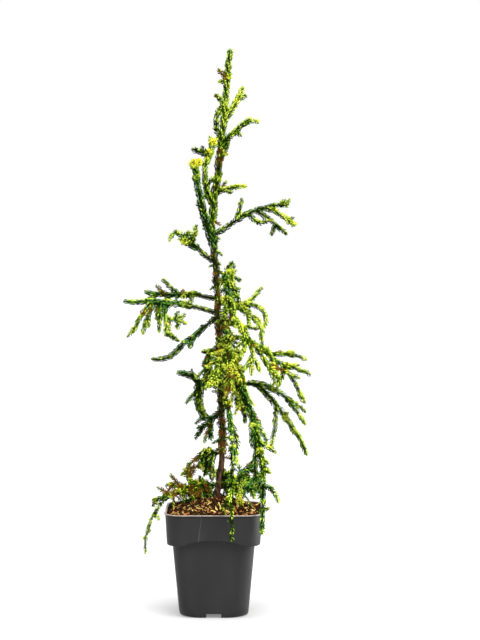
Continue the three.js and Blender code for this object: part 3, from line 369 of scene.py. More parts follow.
MASSES = (
    Mass("leader", Tone.LIME, 0, 602, None, (
        (-1, 0, 0, 28, 262, -2, 1.35), (0, 0.16, -25, 39, 12, 3), (1, 0.45, 0, 9, -6),
        (0, 0.37, 25, 17, 28, -2), (0, 0.45, -15, 46, 38, 2, 1.15), (4, 0.5, 0, 9, -6),
        (0, 0.58, 20, 31, 55, -1, 1.15), (6, 0.7, 0, 14, 5), (0, 0.49, -10, -1, 48, 8),
        (0, 0.64, 30, -14, 26, -4), (0, 0.81, -30, -14, 3, -1), (0, 0.1, 35, -18, 62, 6, 1.2),
        (11, 1, 0, 17, 40, 0, 1.2), (12, 0.45, 0, -28, 8, 0, 1.1), (13, 0.4, 40, -2, 9),
        (11, 0.35, -60, 14, 20, 6), (0, 0.42, 12, 12, 22, -2)
    ), tufts=((12, 0.3), (12, 0.9), (0, 0.84)), bushy=0.8, aged=0.12, shift=-0.05,
       crests=((12, 0.95, (0, -2, -1), 6.5, 2.6), (12, 0.5, (-4, -2, 1), 6.5, 2.6),
       (11, 0.95, (-9, -3, 5), 6.5, 2.6)), marks=((13, -1.2, 1, 0), (14, -1.2, 1, 0), (15, -0.6, 1, 0),
       (11, -0.2, 1, 0), (1, 0.3, 1, 0)), thick=1.08),
    Mass("left_leader", Tone.GREEN, 206, 562, None, (
        (-1, 0, 0, 31, 124, -2, 1.5), (0, 0.45, -50, 12, 14), (0, 0.35, -30, 9, 26, 2)
    ), tufts=((0, 0.94), (0, 0.85)), bushy=0.5, aged=0.02, shift=0.1,
       crests=((0, 0.98, (-3, -1, 6), 7.5, 2.6), (0, 0.98, (5, 1, 8), 6, 2.6)), cool=0.12),
    Mass("upper_right", Tone.LIME, 12, 583, (20, 11, 0), (
        (-1, 0, 0, 96, 37, 7, 1.05), (0, 0.18, 30, 9, 34, -1), (0, 0.38, -20, 32, -11, -6),
        (0, 0.5, 18, 56, -35, 2), (0, 0.66, -20, 43, -26, 3), (3, 0.6, 0, -5, -18), (3, 0.62, 0, 12, -5)
    ), tufts=((0, 0.95), (4, 0.9)), bushy=0.6, aged=0.03, shift=-0.3),
    Mass("upper_left", Tone.GREEN, 172, 541, (25, 18, 0), (
        (-1, 0, 0, 25, 20, -1, 1.4), (0, 0.85, 15, 21, -3, 12), (0, 0.9, -20, -17, 0, -9),
        (2, 1, 0, 10, -9, -2), (0, 0.35, -25, -9, 31, 1), (4, 0.5, 0, -6, 7), (0, 0.5, 30, 4, 11)
    ), tufts=((0, 0.7),), bushy=0.8, aged=0.08, shift=0.3, cool=0.45),
    Mass("tier_left_upper", Tone.GREEN, 157, 485, (31, 6, -3), (
        (-1, 0, 0, 92, 3, -3, 1.2), (0, 0.32, 14, 27, 23, -1), (0, 0.15, -40, -9, -11),
        (0, 0.55, -35, 18, -24, 3), (0, 0.75, 25, 22, -12, 2)
    ), tufts=((0, 0.22), (0, 0.03)), bushy=0.8, bronze=(0, 1), aged=0.15, cool=0.35),
    Mass("tier_left", Tone.GREEN, 184, 463, (38, 11, -2), (
        (-1, 0, 0, 105, 5, 3, 1.25), (0, 0.59, 0, 26, -46, 3), (0, 0.53, -25, 20, -50, 5),
        (2, 0.45, 0, -1, -18), (0, 0.46, 25, 2, -46, 1), (0, 0.43, -30, -4, -52, -4),
        (5, 1, 0, -23, -11, -3), (4, 0.4, -22, -42, -14), (7, 0.55, 0, -6, 12), (7, 0.65, 0, -13, 9),
        (7, 0.7, 0, 0, -12)
    ), tufts=((0, 0.05),), bushy=0.8, aged=0.08, shift=0.2, cool=0.3),
    Mass("low_left", Tone.DARK, 196, 452, (19, -10, 2), (
        (-1, 0, 0, 37, -29, -1), (0, 1, -8, 48, -23, -8, 0.9), (0, 0.45, 35, 12, -18, 2)
    ), bushy=0.4, aged=0.02, thick=1.3, cool=0.6),
    Mass("tier_right", Tone.LIME, 4, 461, (26, 8, 0), (
        (-1, 0, 0, 37, 0, 5, 1.2), (0, 1, 0, 3, -34, 8), (1, 1, 0, 1, -35, -1), (0, 0.15, -28, 35, -35, 3),
        (0, 0.1, 15, -12, 51, -2), (4, 0.5, 0, -11, 15, 1), (5, 1, 0, -9, -6), (4, 0.5, 20, 8, 4),
        (0, 0.3, 20, 30, 28, -2, 1.1), (0, 0.05, -44, 24, -30, 6), (3, 0.5, 36, 14, -12, 3)
    ), tufts=((0, 0.04), (4, 0.95)), bushy=0.75, aged=0.06, shift=0.2),
    Mass("arch_right", Tone.GOLD, -42, 448, (41, -3, 3), (
        (-1, 0, 0, 30, -43, 4, 1.1), (0, 1, 0, -5, -35), (0, 0.1, -30, 4, -18, 2), (0, 0.5, 30, 8, -22, 3),
        (0, 0.3, -48, 10, -26, 4), (1, 0.3, 40, 10, -18, 3)
    ), tufts=((0, 0.05),), bushy=1.1, aged=0.05, shift=-0.3),
    Mass("right_fan", Tone.LIME, -6, 420, (34, 3, 3), (
        (-1, 0, 0, 65, -45, 4, 1.2), (0, 1, -10, 34, -52, 3), (0, 0.6, 14, 58, -10, 4),
        (0, 0.88, 25, 31, -3, -2), (0, 1, 6, 43, -15, 4), (0, 1, -35, -11, -34, 2), (1, 0.75, 0, 8, -18),
        (0, 0.25, -30, 48, -51, -2), (7, 0.4, 0, 22, -37, 2), (0, 0.42, -22, 22, -30, 5),
        (7, 0.7, 20, 14, -26, 3)
    ), tufts=((0, 0.5), (2, 0.5)), bushy=0.7, aged=0.12, shift=-0.1, cool=0.1),
    Mass("low_right", Tone.LIME, 14, 348, (39, 5, 2), (
        (-1, 0, 0, 64, -25, 6, 1.2), (0, 1, 0, 33, -24, 2), (0, 1, -22, 31, -43, 1),
        (0, 0.2, 12, 90, -114, 7, 1.25), (3, 0.35, 0, -12, -68, 3)
    ), tufts=((0, 0.55), (3, 0.5)), bushy=0.45, aged=0.12, shift=-0.2, cool=0.12),
    Mass("right_curtain", Tone.GREEN, -52, 335, (46, 15, 3), (
        (-1, 0, 0, 40, -63, 3, 1.3), (0, 1, -6, 17, -75, 2, 1.3), (1, 1, -4, -2, -86, 3, 1.1),
        (0, 0.8, 42, 20, -34, 2), (1, 0.25, 48, 26, -17), (1, 0.6, 30, 12, -6), (0, 0.6, -30, 4, -52, 2),
        (1, 0.8, 26, 14, -4), (2, 0.12, 22, 30, -24, 5), (2, 0.55, 18, 13, 2),
        (0, 0.9, -34, -2, -84, 4, 1.2), (10, 0.85, 42, 8, -26, 3)
    ), tufts=((0, 0.9), (1, 0.4)), bushy=0.75, aged=0.05, cool=0.55),
    Mass("front_curtain", Tone.LIME, -80, 318, (38, 14, 4), (
        (-1, 0, 0, 52, -60, 12, 1.1), (0, 1, 0, 4, -142, -2, 1.05), (1, 0.05, 55, 6, -30, 2),
        (0, 0.4, 12, 6, -28, 2), (0, 0.62, 48, 12, -46, 4), (1, 0.5, -40, 5, -24, 2)
    ), tufts=((0, 0.15),), bushy=0.9, aged=0.12, shift=-0.4, marks=((1, -0.5, 0.8, 10),), cool=0.3),
    Mass("left_arm", Tone.DARK, 176, 349, (25, 3, 0), (
        (-1, 0, 0, 40, 19, 4, 1.4), (0, 0.1, 0, -8, -58, 6, 1.9), (1, 0.2, 12, 19, -21, 1),
        (1, 0.45, 20, 1, -16)
    ), bushy=0.8, aged=0.03, shift=0.4, cool=0.6),
    Mass("low_left_twigs", Tone.DARK, 190, 310, None, (
        (-1, 0, 0, 38, -42, 2, 1.1), (0, 0.3, -30, 0, -34, 2), (0, 0.55, 30, 14, -3)
    ), cool=0.6),
    Mass("heart_left", Tone.DARK, 203, 404, None, (
        (-1, 0, 0, 13, -4, 1, 1.3), (0, 1, -10, 12, 1), (0, 1, 10, 14, -47, -4, 1.3),
        (0, 0.7, 30, 3, -46, 2, 1.2), (0, 0.9, -55, 6, -30, 3), (3, 0.5, 60, 10, -16, 3)
    ), tufts=((0, 0.9),), bushy=1.8, aged=0.12, shift=0.3, cool=0.35),
    Mass("heart_front", Tone.GOLD, -76, 412, None, (
        (-1, 0, 0, 34, -6, 5, 1.4), (0, 0.6, 40, 16, -34, 4, 1.2), (0, 1, 8, 16, -44, 5, 1.2),
        (0, 0.8, -48, 12, -26, 3), (1, 0.5, 20, 14, -22, 2), (2, 0.55, 34, 10, -38, 4, 1.1),
        (3, 0.9, 0, 8, -34, 2, 1.1), (0, 0.5, 62, 20, 8, 5), (0, 0.95, 50, 20, -14, 6)
    ), tufts=((0, 0.5), (0, 0.95), (2, 0.6)), bushy=2.6, aged=0.12, shift=-0.45),
    Mass("heart_right", Tone.GOLD, -22, 385, None, (
        (-1, 0, 0, 26, -8, 3, 1.3), (0, 1, 0, 9, -30, 3, 1.2), (0, 0.5, -30, 8, -34, 3, 1.2),
        (0, 0.7, 40, 10, 18, 2), (1, 0.6, -34, 10, -30, 3, 1.1), (2, 0.5, 30, 10, -26, 2)
    ), tufts=((0, 0.6), (1, 0.6)), bushy=2.4, bronze=(1,), aged=0.1, shift=-0.4, cool=0.3),
    Mass("back_upper", Tone.DARK, 74, 497, (24, 12, 2), (
        (-1, 0, 0, 42, 6, 6, 1.2), (0, 0.95, 6, 20, -46, 6), (0, 0.6, -10, 22, 20, 2),
        (0, 0.4, 12, 14, -38, 5)
    ), tufts=((0, 0.5),), bushy=1.3, aged=0.05, shift=0.1, cool=0.4),
    Mass("back_high", Tone.GREEN, 82, 436, (30, 6, 2), (
        (-1, 0, 0, 52, -10, 7, 1.25), (0, 1, 4, 18, -62, 6), (0, 0.55, -16, 22, -50, 6),
        (0, 0.3, 16, 8, -44, 4), (0, 0.75, 8, 20, 14, -3)
    ), tufts=((0, 0.6), (0, 0.15)), bushy=1.4, aged=0.05, cool=0.4),
    Mass("back_low", Tone.GREEN, 66, 366, (30, 4, 2), (
        (-1, 0, 0, 50, -16, 7, 1.25), (0, 1, 0, 14, -74, 7, 1.1), (0, 0.6, 18, 18, -60, 6),
        (0, 0.35, -12, 6, -56, 5), (1, 0.5, 20, 12, -22, 2)
    ), tufts=((0, 0.5),), bushy=1.4, aged=0.06, cool=0.4),
    Mass("front_high", Tone.GOLD, -68, 474, (22, 6, 2), (
        (-1, 0, 0, 34, -4, 6, 1.1), (0, 1, 0, 12, -34, 4), (0, 0.5, 20, 10, -26, 3)
    ), tufts=((0, 0.2),), bushy=1.4, aged=0.05, shift=-0.3),
    Mass("base_left", Tone.GREEN, 180, 196, None, (
        (-1, 0, 0, 80, -22, 6, 1.3), (0, 1, 4, 34, -80, 8, 1.1), (0, 0.95, 0, 20, -4),
        (0, 0.5, -16, 35, 4, 3), (0, 0.42, 12, 6, 38, -3, 1.1), (0, 0.2, -20, 10, 12, 1),
        (0, 0.3, 24, 18, 6, 2), (0, 0.12, 42, 16, -9, 7), (0, 0.28, -38, 18, -9, 6, 1.1),
        (0, 0.42, 40, 15, -8, 5), (0, 0.62, -28, 18, 7, 3), (0, 0.66, 32, 15, -7, 4), (4, 0.45, -20, 9, 5),
        (0, 0.2, -50, 22, -12, 7), (5, 0.6, 30, 10, -10, 4)
    ), tufts=((0, 0.35), (0, 0.6), (4, 0.5)), bushy=1.35, bronze=(0, 1, 2), aged=0.42, shift=0.05,
       marks=((1, 0, 0.72, 6),), skirt=6, cool=0.15),
    Mass("base_left_upper", Tone.DARK, 186, 246, None, (
        (-1, 0, 0, 37, -13, 8, 1.1), (0, 0.35, -20, 6, -36, 3, 1.4), (0, 0.2, 20, 3, -44, 3, 1.2),
        (0, 0.55, -14, 4, -26, 3, 1.3), (1, 0.55, 30, 12, -6, 2)
    ), tufts=((0, 0.4),), bushy=0.85, aged=0.3, shift=0.1, skirt=3),
    Mass("base_right", Tone.DARK, 8, 190, None, (
        (-1, 0, 0, 22, 10, 1, 1.2), (0, 1, 6, 33, 35, -3, 1.2), (0, 0.9, -14, 34, 2, 4),
        (0, 0.5, -30, 22, -6, 2), (0, 0.1, -10, 4, 30, -1), (0, 0.7, -48, 40, -6, 5, 1.2),
        (5, 0.5, 24, 22, -13, 4, 1.1), (5, 0.9, -10, 16, -11, 3, 1.2), (5, 0.35, -34, 16, -9, 5),
        (2, 0.5, -20, 14, -16, 3, 1.1), (6, 0.9, 0, 4, 14), (1, 0.4, 40, 16, -22, 4)
    ), tufts=((3, 0.95),), bushy=1.6, aged=0.14, shift=0.1, crests=((8, 1, (0, -1, -2), 6.5, 1.5),),
       marks=((8, 1.2, 1.1, 15),), skirt=3, cool=0.55),
    Mass("base_back", Tone.GREEN, 84, 204, None, (
        (-1, 0, 0, 60, -12, 6, 1.2), (0, 0.95, -4, 46, -24, 8), (0, 0.5, 14, 22, 12, 3),
        (1, 0.5, 30, 22, -10, 3), (1, 0.3, -36, 24, -2, 4)
    ), tufts=((0, 0.5),), bushy=1.2, aged=0.2, shift=0.1, skirt=3, cool=0.4),
)


@dataclass
class Laid:
    """A shoot in its place."""

    curve: Bend
    heading: float
    girth: float
    order: int


@dataclass
class Growth:
    """Lays out the limbs and shoots by the same rule as the solids."""

    trunk: TrunkLine = field(default_factory=TrunkLine)

    def root_on_trunk(self, mass: Mass) -> Vector:
        """Where a limb leaves the trunk, just under its surface."""
        share = self.trunk.share_at(mass.foot)
        return self.trunk.point(share) + level_way(mass.heading) * (self.trunk.radius(share) - TRUNK_SOCKET)

    def lay_out(self, mass: Mass, seed: int, start: Vector) -> list[Laid]:
        """Lays out the shoots of a mass.

        Args:
            mass: The mass's plan.
            seed: Seed of its bends.
            start: Where its stem starts.

        Returns:
            The shoots.
        """
        random = Seeded(seed)
        laid = []
        for on, at, turn, reach, rise, *more in mass.shoots:
            bow, girth = more + [0, 1][len(more) :]
            parent = laid[on] if on >= 0 else Laid(Bend(start, start, start), mass.heading, 1, -1)
            root = parent.curve.point(min(at, SHOOT_JOINT))
            curve = Bend.headed(root, parent.heading + turn, reach, rise, bow)
            curve.middle += Vector([(2 * random() - 1) * SHOOT_JITTER for _ in range(3)])
            laid.append(Laid(curve, parent.heading + turn, girth, parent.order + 1))
        return laid

    def grow(self) -> tuple[dict[str, Bend], list[list[Laid]]]:
        """Lays out everything.

        Returns:
            The boughs by mass, and the shoots of each mass.
        """
        carried = [mass for mass in MASSES if mass.bough]
        boughs = {m.name: Bend.headed(self.root_on_trunk(m), m.heading, *m.bough) for m in carried}
        layouts = []
        for number, mass in enumerate(MASSES):
            below = boughs.get(mass.name, self.trunk)
            start = below.point(1) + below.tangent(1) * GAP
            if not mass.bough and mass.foot < TRUNK_TOP:
                start = self.root_on_trunk(mass)
            layouts.append(self.lay_out(mass, SHOOT_SEED + NEXT_SEED * number, start))
        return boughs, layouts


def drift(place: Vector) -> Vector:
    """A smooth field of moves, the same in each run."""
    return Vector([noise.noise(place + Vector(start)) for start in DRIFT_STARTS])


def warped(point: Vector) -> Vector:
    """A point moved a little by smooth fields, so that shoots wriggle as grown ones do.

    Args:
        point: The point.

    Returns:
        The moved point.
    """
    rooted = clamp((point.z - TRUNK_FOOT) / 30) if point.xy.length < 30 else 1
    moves = [drift(point / width + Vector(start)) * far for width, far, start in WRIGGLES]
    return point + sum(moves, Vector()) * rooted


def link(name: str, data: ID) -> Object:
    """Puts a mesh, light or camera in the scene as an object at the origin.

    Args:
        name: Name of the object.
        data: Mesh, light or camera.

    Returns:
        The object.
    """
    obj = bpy.data.objects.new(name, data)
    bpy.context.scene.collection.objects.link(obj)
    return obj


def plain_mesh(name: str, verts: Sequence, faces: Sequence, edges: Sequence = ()) -> Mesh:
    """Makes a mesh.

    Args:
        name: Its name.
        verts: Points in millimetres.
        faces: Faces by the indices of their points.
        edges: Edges that no face has.

    Returns:
        The mesh, in metres.
    """
    mesh = bpy.data.meshes.new(name)
    mesh.from_pydata([Vector(v) * MM for v in verts], list(edges), list(faces))
    mesh.update()
    return mesh


def shape_mesh(name: str, shape: bmesh.types.BMesh, move: Matrix) -> Mesh:
    """Turns a shape in millimetres to a mesh.

    Args:
        name: Name of the mesh.
        shape: The shape, which is used up.
        move: Its move.

    Returns:
        The mesh, in metres.
    """
    bmesh.ops.transform(shape, matrix=Matrix.Scale(MM, 4) @ move, verts=shape.verts)
    mesh = bpy.data.meshes.new(name)
    shape.to_mesh(mesh)
    shape.free()
    return mesh


def evaluate(obj: Object) -> None:
    """Puts the plain mesh that an object's modifiers give in their place.

    Args:
        obj: The object.
    """
    graph = bpy.context.evaluated_depsgraph_get()
    mesh = bpy.data.meshes.new_from_object(obj.evaluated_get(graph), depsgraph=graph)
    obj.modifiers.clear()
    obj.data = mesh
    mesh.name = obj.name


def band(first: int, second: int, count: int, down: bool = False) -> list[tuple]:
    """Faces between two rings of points.

    Args:
        first: Index of the first ring's first point.
        second: Index of the second ring's first point.
        count: Points in each.
        down: Whether the second ring lies below or outside, not above.

    Returns:
        The faces, pointing out.
    """
    faces = []
    for i in range(count):
        a, b, c, d = first + i, first + (i + 1) % count, second + (i + 1) % count, second + i
        faces.append((a, d, c, b) if down else (a, b, c, d))
    return faces


def tube_faces(rings: int, count: int) -> list[tuple]:
    """Faces of a closed tube through rings of points, each with the same count of them."""
    faces = [face for i in range(rings - 1) for face in band(i * count, (i + 1) * count, count)]
    return faces + [tuple(reversed(range(count))), tuple(range((rings - 1) * count, rings * count))]


class Tree:
    """A Geometry Nodes tree with named inputs."""

    def __init__(self, name: str, sockets: dict[str, Sequence[str]]) -> None:
        """Starts a tree.

        Args:
            name: Its name.
            sockets: Names of the inputs after Lines and Material, by socket type.
        """
        self.group = bpy.data.node_groups.new(name, "GeometryNodeTree")
        side = self.group.interface
        side.new_socket("Result", in_out="OUTPUT", socket_type="NodeSocketGeometry")
        for kind, labels in {"Geometry": ("Lines",), "Material": ("Material",), **sockets}.items():
            for label in labels:
                side.new_socket(label, in_out="INPUT", socket_type=f"NodeSocket{kind}")
        self.inputs = self.group.nodes.new("NodeGroupInput").outputs
        self.add = partial(add_node, self.group)

    def end(self, geometry: Node) -> Tree:
        """Realizes the instances, sets the material and ends the tree.

        Args:
            geometry: Node whose first output is the result.

        Returns:
            The tree.
        """
        real, material = self.add("GeometryNodeRealizeInstances", (geometry,)), self.inputs["Material"]
        dressed = self.add("GeometryNodeSetMaterial", {"Geometry": real, "Material": material})
        self.add("NodeGroupOutput", (dressed,))
        return self

    def apply(self, name: str, source: Mesh, values: dict) -> Object:
        """Runs the tree on a mesh.

        Args:
            name: Name of the piece.
            source: Mesh that the tree works on.
            values: Value of each input, by name.

        Returns:
            The piece as a plain mesh object at the origin.
        """
        obj = link(name, source)
        modifier = obj.modifiers.new(self.group.name, "NODES")
        modifier.node_group = self.group
        for label, value in values.items():
            modifier[self.group.interface.items_tree[label].identifier] = value
        evaluate(obj)
        return obj


def needle_tree() -> Tree:
    """Tree that winds needles round lines in a leaning spiral, as on a Japanese cedar's shoot.

    A needle's level is its line's level, raised on the side of the shoot that faces the key light and
    lowered on the far side, which paints light and shade into the tones, and varied in clumps, in bands and
    by a seeded rule. The tree keeps the needles whose level lies from Lowest to Highest.
    Clumps of a higher level have longer needles.

    Returns:
        The tree.
    """
    tree = Tree("needles_along_shoots", {
        "Object": ("Needle",), "Vector": ("Sunward",), "Int": ("Seed",),
        "Float": ("Turn", "Sway", "Mixed", "Clumps", "Clumpy", "Knobby", "Pitch", "Banded", "Ribbed",
                  "Lowest", "Highest"),
    })
    take, add = tree.inputs, tree.add
    labels = ("radius", "level", "close", "size", "spacing")
    radius, level, close, size, spacing = (add(ATTRIBUTE, (label,), data_type="FLOAT") for label in labels)
    curve = add("GeometryNodeMeshToCurve", (take["Lines"],))
    points = add("GeometryNodeCurveToPoints", {"Curve": curve, "Length": spacing}, mode="LENGTH").outputs
    index = add("GeometryNodeInputIndex")
    turned = add(MATH, (index, take["Turn"]), operation="MULTIPLY")
    wound = add(ROTATE, (points["Rotation"], add(ANGLE, (UP, turned))), rotation_space="LOCAL")
    outward = add("FunctionNodeRotateVector", ((1, 0, 0), wound))
    away = add("ShaderNodeVectorMath", {0: outward, "Scale": radius}, operation="SCALE")
    # Painted light and shade: needles facing the key light's way get a higher level and so a lighter tone,
    # and those facing away a darker one.
    facing = add("ShaderNodeVectorMath", (outward, take["Sunward"]), operation="DOT_PRODUCT")
    painted_light_level = add(MATH, (facing.outputs["Value"], level), operation="ADD")
    drawn = add(RANDOM, {2: -1.0, 3: 1.0, "Seed": 3}).outputs[1]
    mixed = add(MATH, (drawn, take["Mixed"], painted_light_level), operation="MULTIPLY_ADD")
    place = add("GeometryNodeInputPosition")
    cloud = add("ShaderNodeTexNoise", {"Vector": place, "Scale": take["Clumps"], "Detail": 1.0})
    clump = add(MATH, (cloud, 0.5), operation="SUBTRACT")
    cloudy = add(MATH, (clump, take["Clumpy"], mixed), operation="MULTIPLY_ADD")
    along = add(MATH, (index, spacing), operation="MULTIPLY")
    pitched = add(MATH, (along, take["Pitch"]), operation="DIVIDE")
    phase = add(MATH, (pitched, 2 * math.pi, turned), operation="MULTIPLY_ADD")
    wave = add(MATH, (phase,), operation="SINE")
    tuned = add(MATH, (wave, take["Banded"], cloudy), operation="MULTIPLY_ADD")
    cool = add(COMPARE, (tuned, COOL_LEVEL / 2), operation="GREATER_THAN")
    shaded = add(COMPARE, (tuned, COOL_LEVEL + LIT_LEVEL), operation="LESS_THAN")
    bright = add(COMPARE, (tuned, COOL_LEVEL + BRIGHT_LEVEL), operation="GREATER_EQUAL")
    lowered = add(LOGIC, (cool, add(LOGIC, (shaded, bright), operation="OR")), operation="AND")
    dealt = add(MATH, (lowered, -COOL_LEVEL, tuned), operation="MULTIPLY_ADD")
    above = add(COMPARE, (dealt, take["Lowest"]), operation="GREATER_EQUAL")
    below = add(COMPARE, (dealt, take["Highest"]), operation="LESS_THAN")
    kept = add(LOGIC, (above, below), operation="AND")
    swung = add(RANDOM, {2: -1.0, 3: 1.0, "Seed": take["Seed"]}).outputs[1]
    swing = add(MATH, (swung, take["Sway"], close), operation="MULTIPLY_ADD")
    leaning = add(ROTATE, (wound, add(ANGLE, ((0, 1, 0), swing))), rotation_space="LOCAL")
    varied = add(RANDOM, {2: 0.8, 3: 1.2, "Seed": take["Seed"]}).outputs[1]
    knob = add(MATH, (clump, take["Knobby"], varied), operation="MULTIPLY_ADD")
    ribbed = add(MATH, (wave, take["Ribbed"], knob), operation="MULTIPLY_ADD")
    scale = add(MATH, (size, ribbed), operation="MULTIPLY")
    needle = add("GeometryNodeObjectInfo", {"Object": take["Needle"]}).outputs["Geometry"]
    moved = add("GeometryNodeStoreNamedAttribute", {
        "Geometry": points["Points"], "Name": "away", "Value": away,
    }, data_type="FLOAT_VECTOR")
    placed = add("GeometryNodeInstanceOnPoints", {
        "Points": moved, "Selection": kept, "Instance": needle, "Rotation": leaning, "Scale": scale,
    })
    carried = add(ATTRIBUTE, ("away",), data_type="FLOAT_VECTOR")
    return tree.end(add("GeometryNodeTranslateInstances", {
        "Instances": placed, "Translation": carried, "Local Space": False,
    }))


def stem_tree() -> Tree:
    """Tree that makes a closed tapering tube of each line.

    Returns:
        The tree.
    """
    tree = Tree("stems_along_shoots", {"Int": ("Sides",)})
    take, add = tree.inputs, tree.add
    section = add("GeometryNodeCurvePrimitiveCircle", {"Resolution": take["Sides"], "Radius": 1.0})
    tube = add("GeometryNodeCurveToMesh", {
        "Curve": add("GeometryNodeMeshToCurve", (take["Lines"],)), "Profile Curve": section,
        "Scale": add(ATTRIBUTE, ("radius",), data_type="FLOAT"), "Fill Caps": True,
    })
    return tree.end(add("GeometryNodeSetShadeSmooth", (tube,)))


def scatter_tree() -> Tree:
    """Tree that strews chips over a surface, each turned and sized by a seeded rule.

    Returns:
        The tree.
    """
    tree = Tree("chips_on_medium", {
        "Object": ("Chip",), "Float": ("Density", "Tilt"), "Vector": ("Smallest", "Largest"),
        "Int": ("Seed",),
    })
    take, add = tree.inputs, tree.add
    seed = take["Seed"]
    points = add("GeometryNodeDistributePointsOnFaces", {
        "Mesh": take["Lines"], "Density": take["Density"], "Seed": seed,
    }).outputs
    turn = add(RANDOM, {3: 2 * math.pi, "Seed": seed}).outputs[1]
    turned = add(ROTATE, (points["Rotation"], add(ANGLE, (UP, turn))), rotation_space="LOCAL")
    swung = add(RANDOM, {2: -1.0, 3: 1.0, "Seed": seed}).outputs[1]
    lean = add(MATH, (swung, take["Tilt"]), operation="MULTIPLY")
    tilted = add(ROTATE, (turned, add(ANGLE, ((1, 0.4, 0), lean))), rotation_space="LOCAL")
    sizes = {0: take["Smallest"], 1: take["Largest"], "Seed": seed}
    return tree.end(add("GeometryNodeInstanceOnPoints", {
        "Points": points["Points"], "Rotation": tilted,
        "Instance": add("GeometryNodeObjectInfo", {"Object": take["Chip"]}).outputs["Geometry"],
        "Scale": add(RANDOM, sizes, data_type="FLOAT_VECTOR"),
    }))


def new_material(name: str) -> tuple[Material, NodeTree, Node]:
    """A material with its tree and its shader node.

    Args:
        name: Its name.

    Returns:
        The material, its tree and its shader node.
    """
    material = bpy.data.materials.new(name)
    material.use_nodes = True
    return material, material.node_tree, material.node_tree.nodes["Principled BSDF"]


def pattern(tree: NodeTree, size_mm: float, detail: float, stretch: Sequence = (1, 1, 1)) -> Node:
    """Noise on object coordinates.

    Args:
        tree: Material's tree.
        size_mm: Width of a patch.
        detail: Octaves of finer noise.
        stretch: Scale along each axis.

    Returns:
        The noise's node.
    """
    place = add_node(tree, "ShaderNodeTexCoord").outputs["Object"]
    mapped = add_node(tree, "ShaderNodeMapping", {"Vector": place, "Scale": Vector(stretch)})
    return add_node(tree, "ShaderNodeTexNoise", {
        "Vector": mapped, "Scale": 1 / (size_mm * MM), "Detail": detail,
    })


def ramp(tree: NodeTree, value: Node, stops: Sequence[tuple[float, str]]) -> Node:
    """Colours set along a value.

    Args:
        tree: Material's tree.
        value: Node of the value.
        stops: Place and hex colour of each stop.

    Returns:
        The colours' node.
    """
    node = add_node(tree, "ShaderNodeValToRGB", (value,))
    colours = node.color_ramp.elements
    while len(colours) < len(stops):
        colours.new(0.5)
    for stop, (place, colour) in zip(colours, stops):
        stop.position = place
        stop.color = linear(colour)
    return node


@dataclass(frozen=True)
class NeedleFinish:
    """Living cedar needles: waxy awl-shaped leaves, near matt, in one plain colour to a tone."""

    name: str
    colour: str
    slot: str
    roughness: float = 0.6
    shine: float = 0.02

    def material(self) -> Material:
        """Plain colour with a weak waxy shine.

        Returns:
            The material.
        """
        material, _, shader = new_material(self.name)
        wire(shader, {
            "Base Color": linear(self.colour), "Roughness": self.roughness,
            "Specular IOR Level": self.shine,
        })
        return material


@dataclass(frozen=True)
class GrainFinish:
    """Dry and matt organic matter, such as bark, peat, straw or moss: grain with a matching relief."""

    name: str
    stops: tuple
    grain_mm: float
    stretch: tuple = (1, 1, 1)
    detail: float = 5
    roughness: float = 0.92
    shine: float = 0.02
    relief: float = 0.5
    relief_mm: float = 0.5

    def material(self) -> Material:
        """Colours and relief from one grain.

        Returns:
            The material.
        """
        material, tree, shader = new_material(self.name)
        grain = pattern(tree, self.grain_mm, self.detail, self.stretch)
        wire(shader, {
            "Base Color": ramp(tree, grain, self.stops),
            "Roughness": self.roughness, "Specular IOR Level": self.shine,
            "Normal": add_node(tree, "ShaderNodeBump", {
                "Height": grain, "Strength": self.relief, "Distance": self.relief_mm * MM,
            }),
        })
        return material


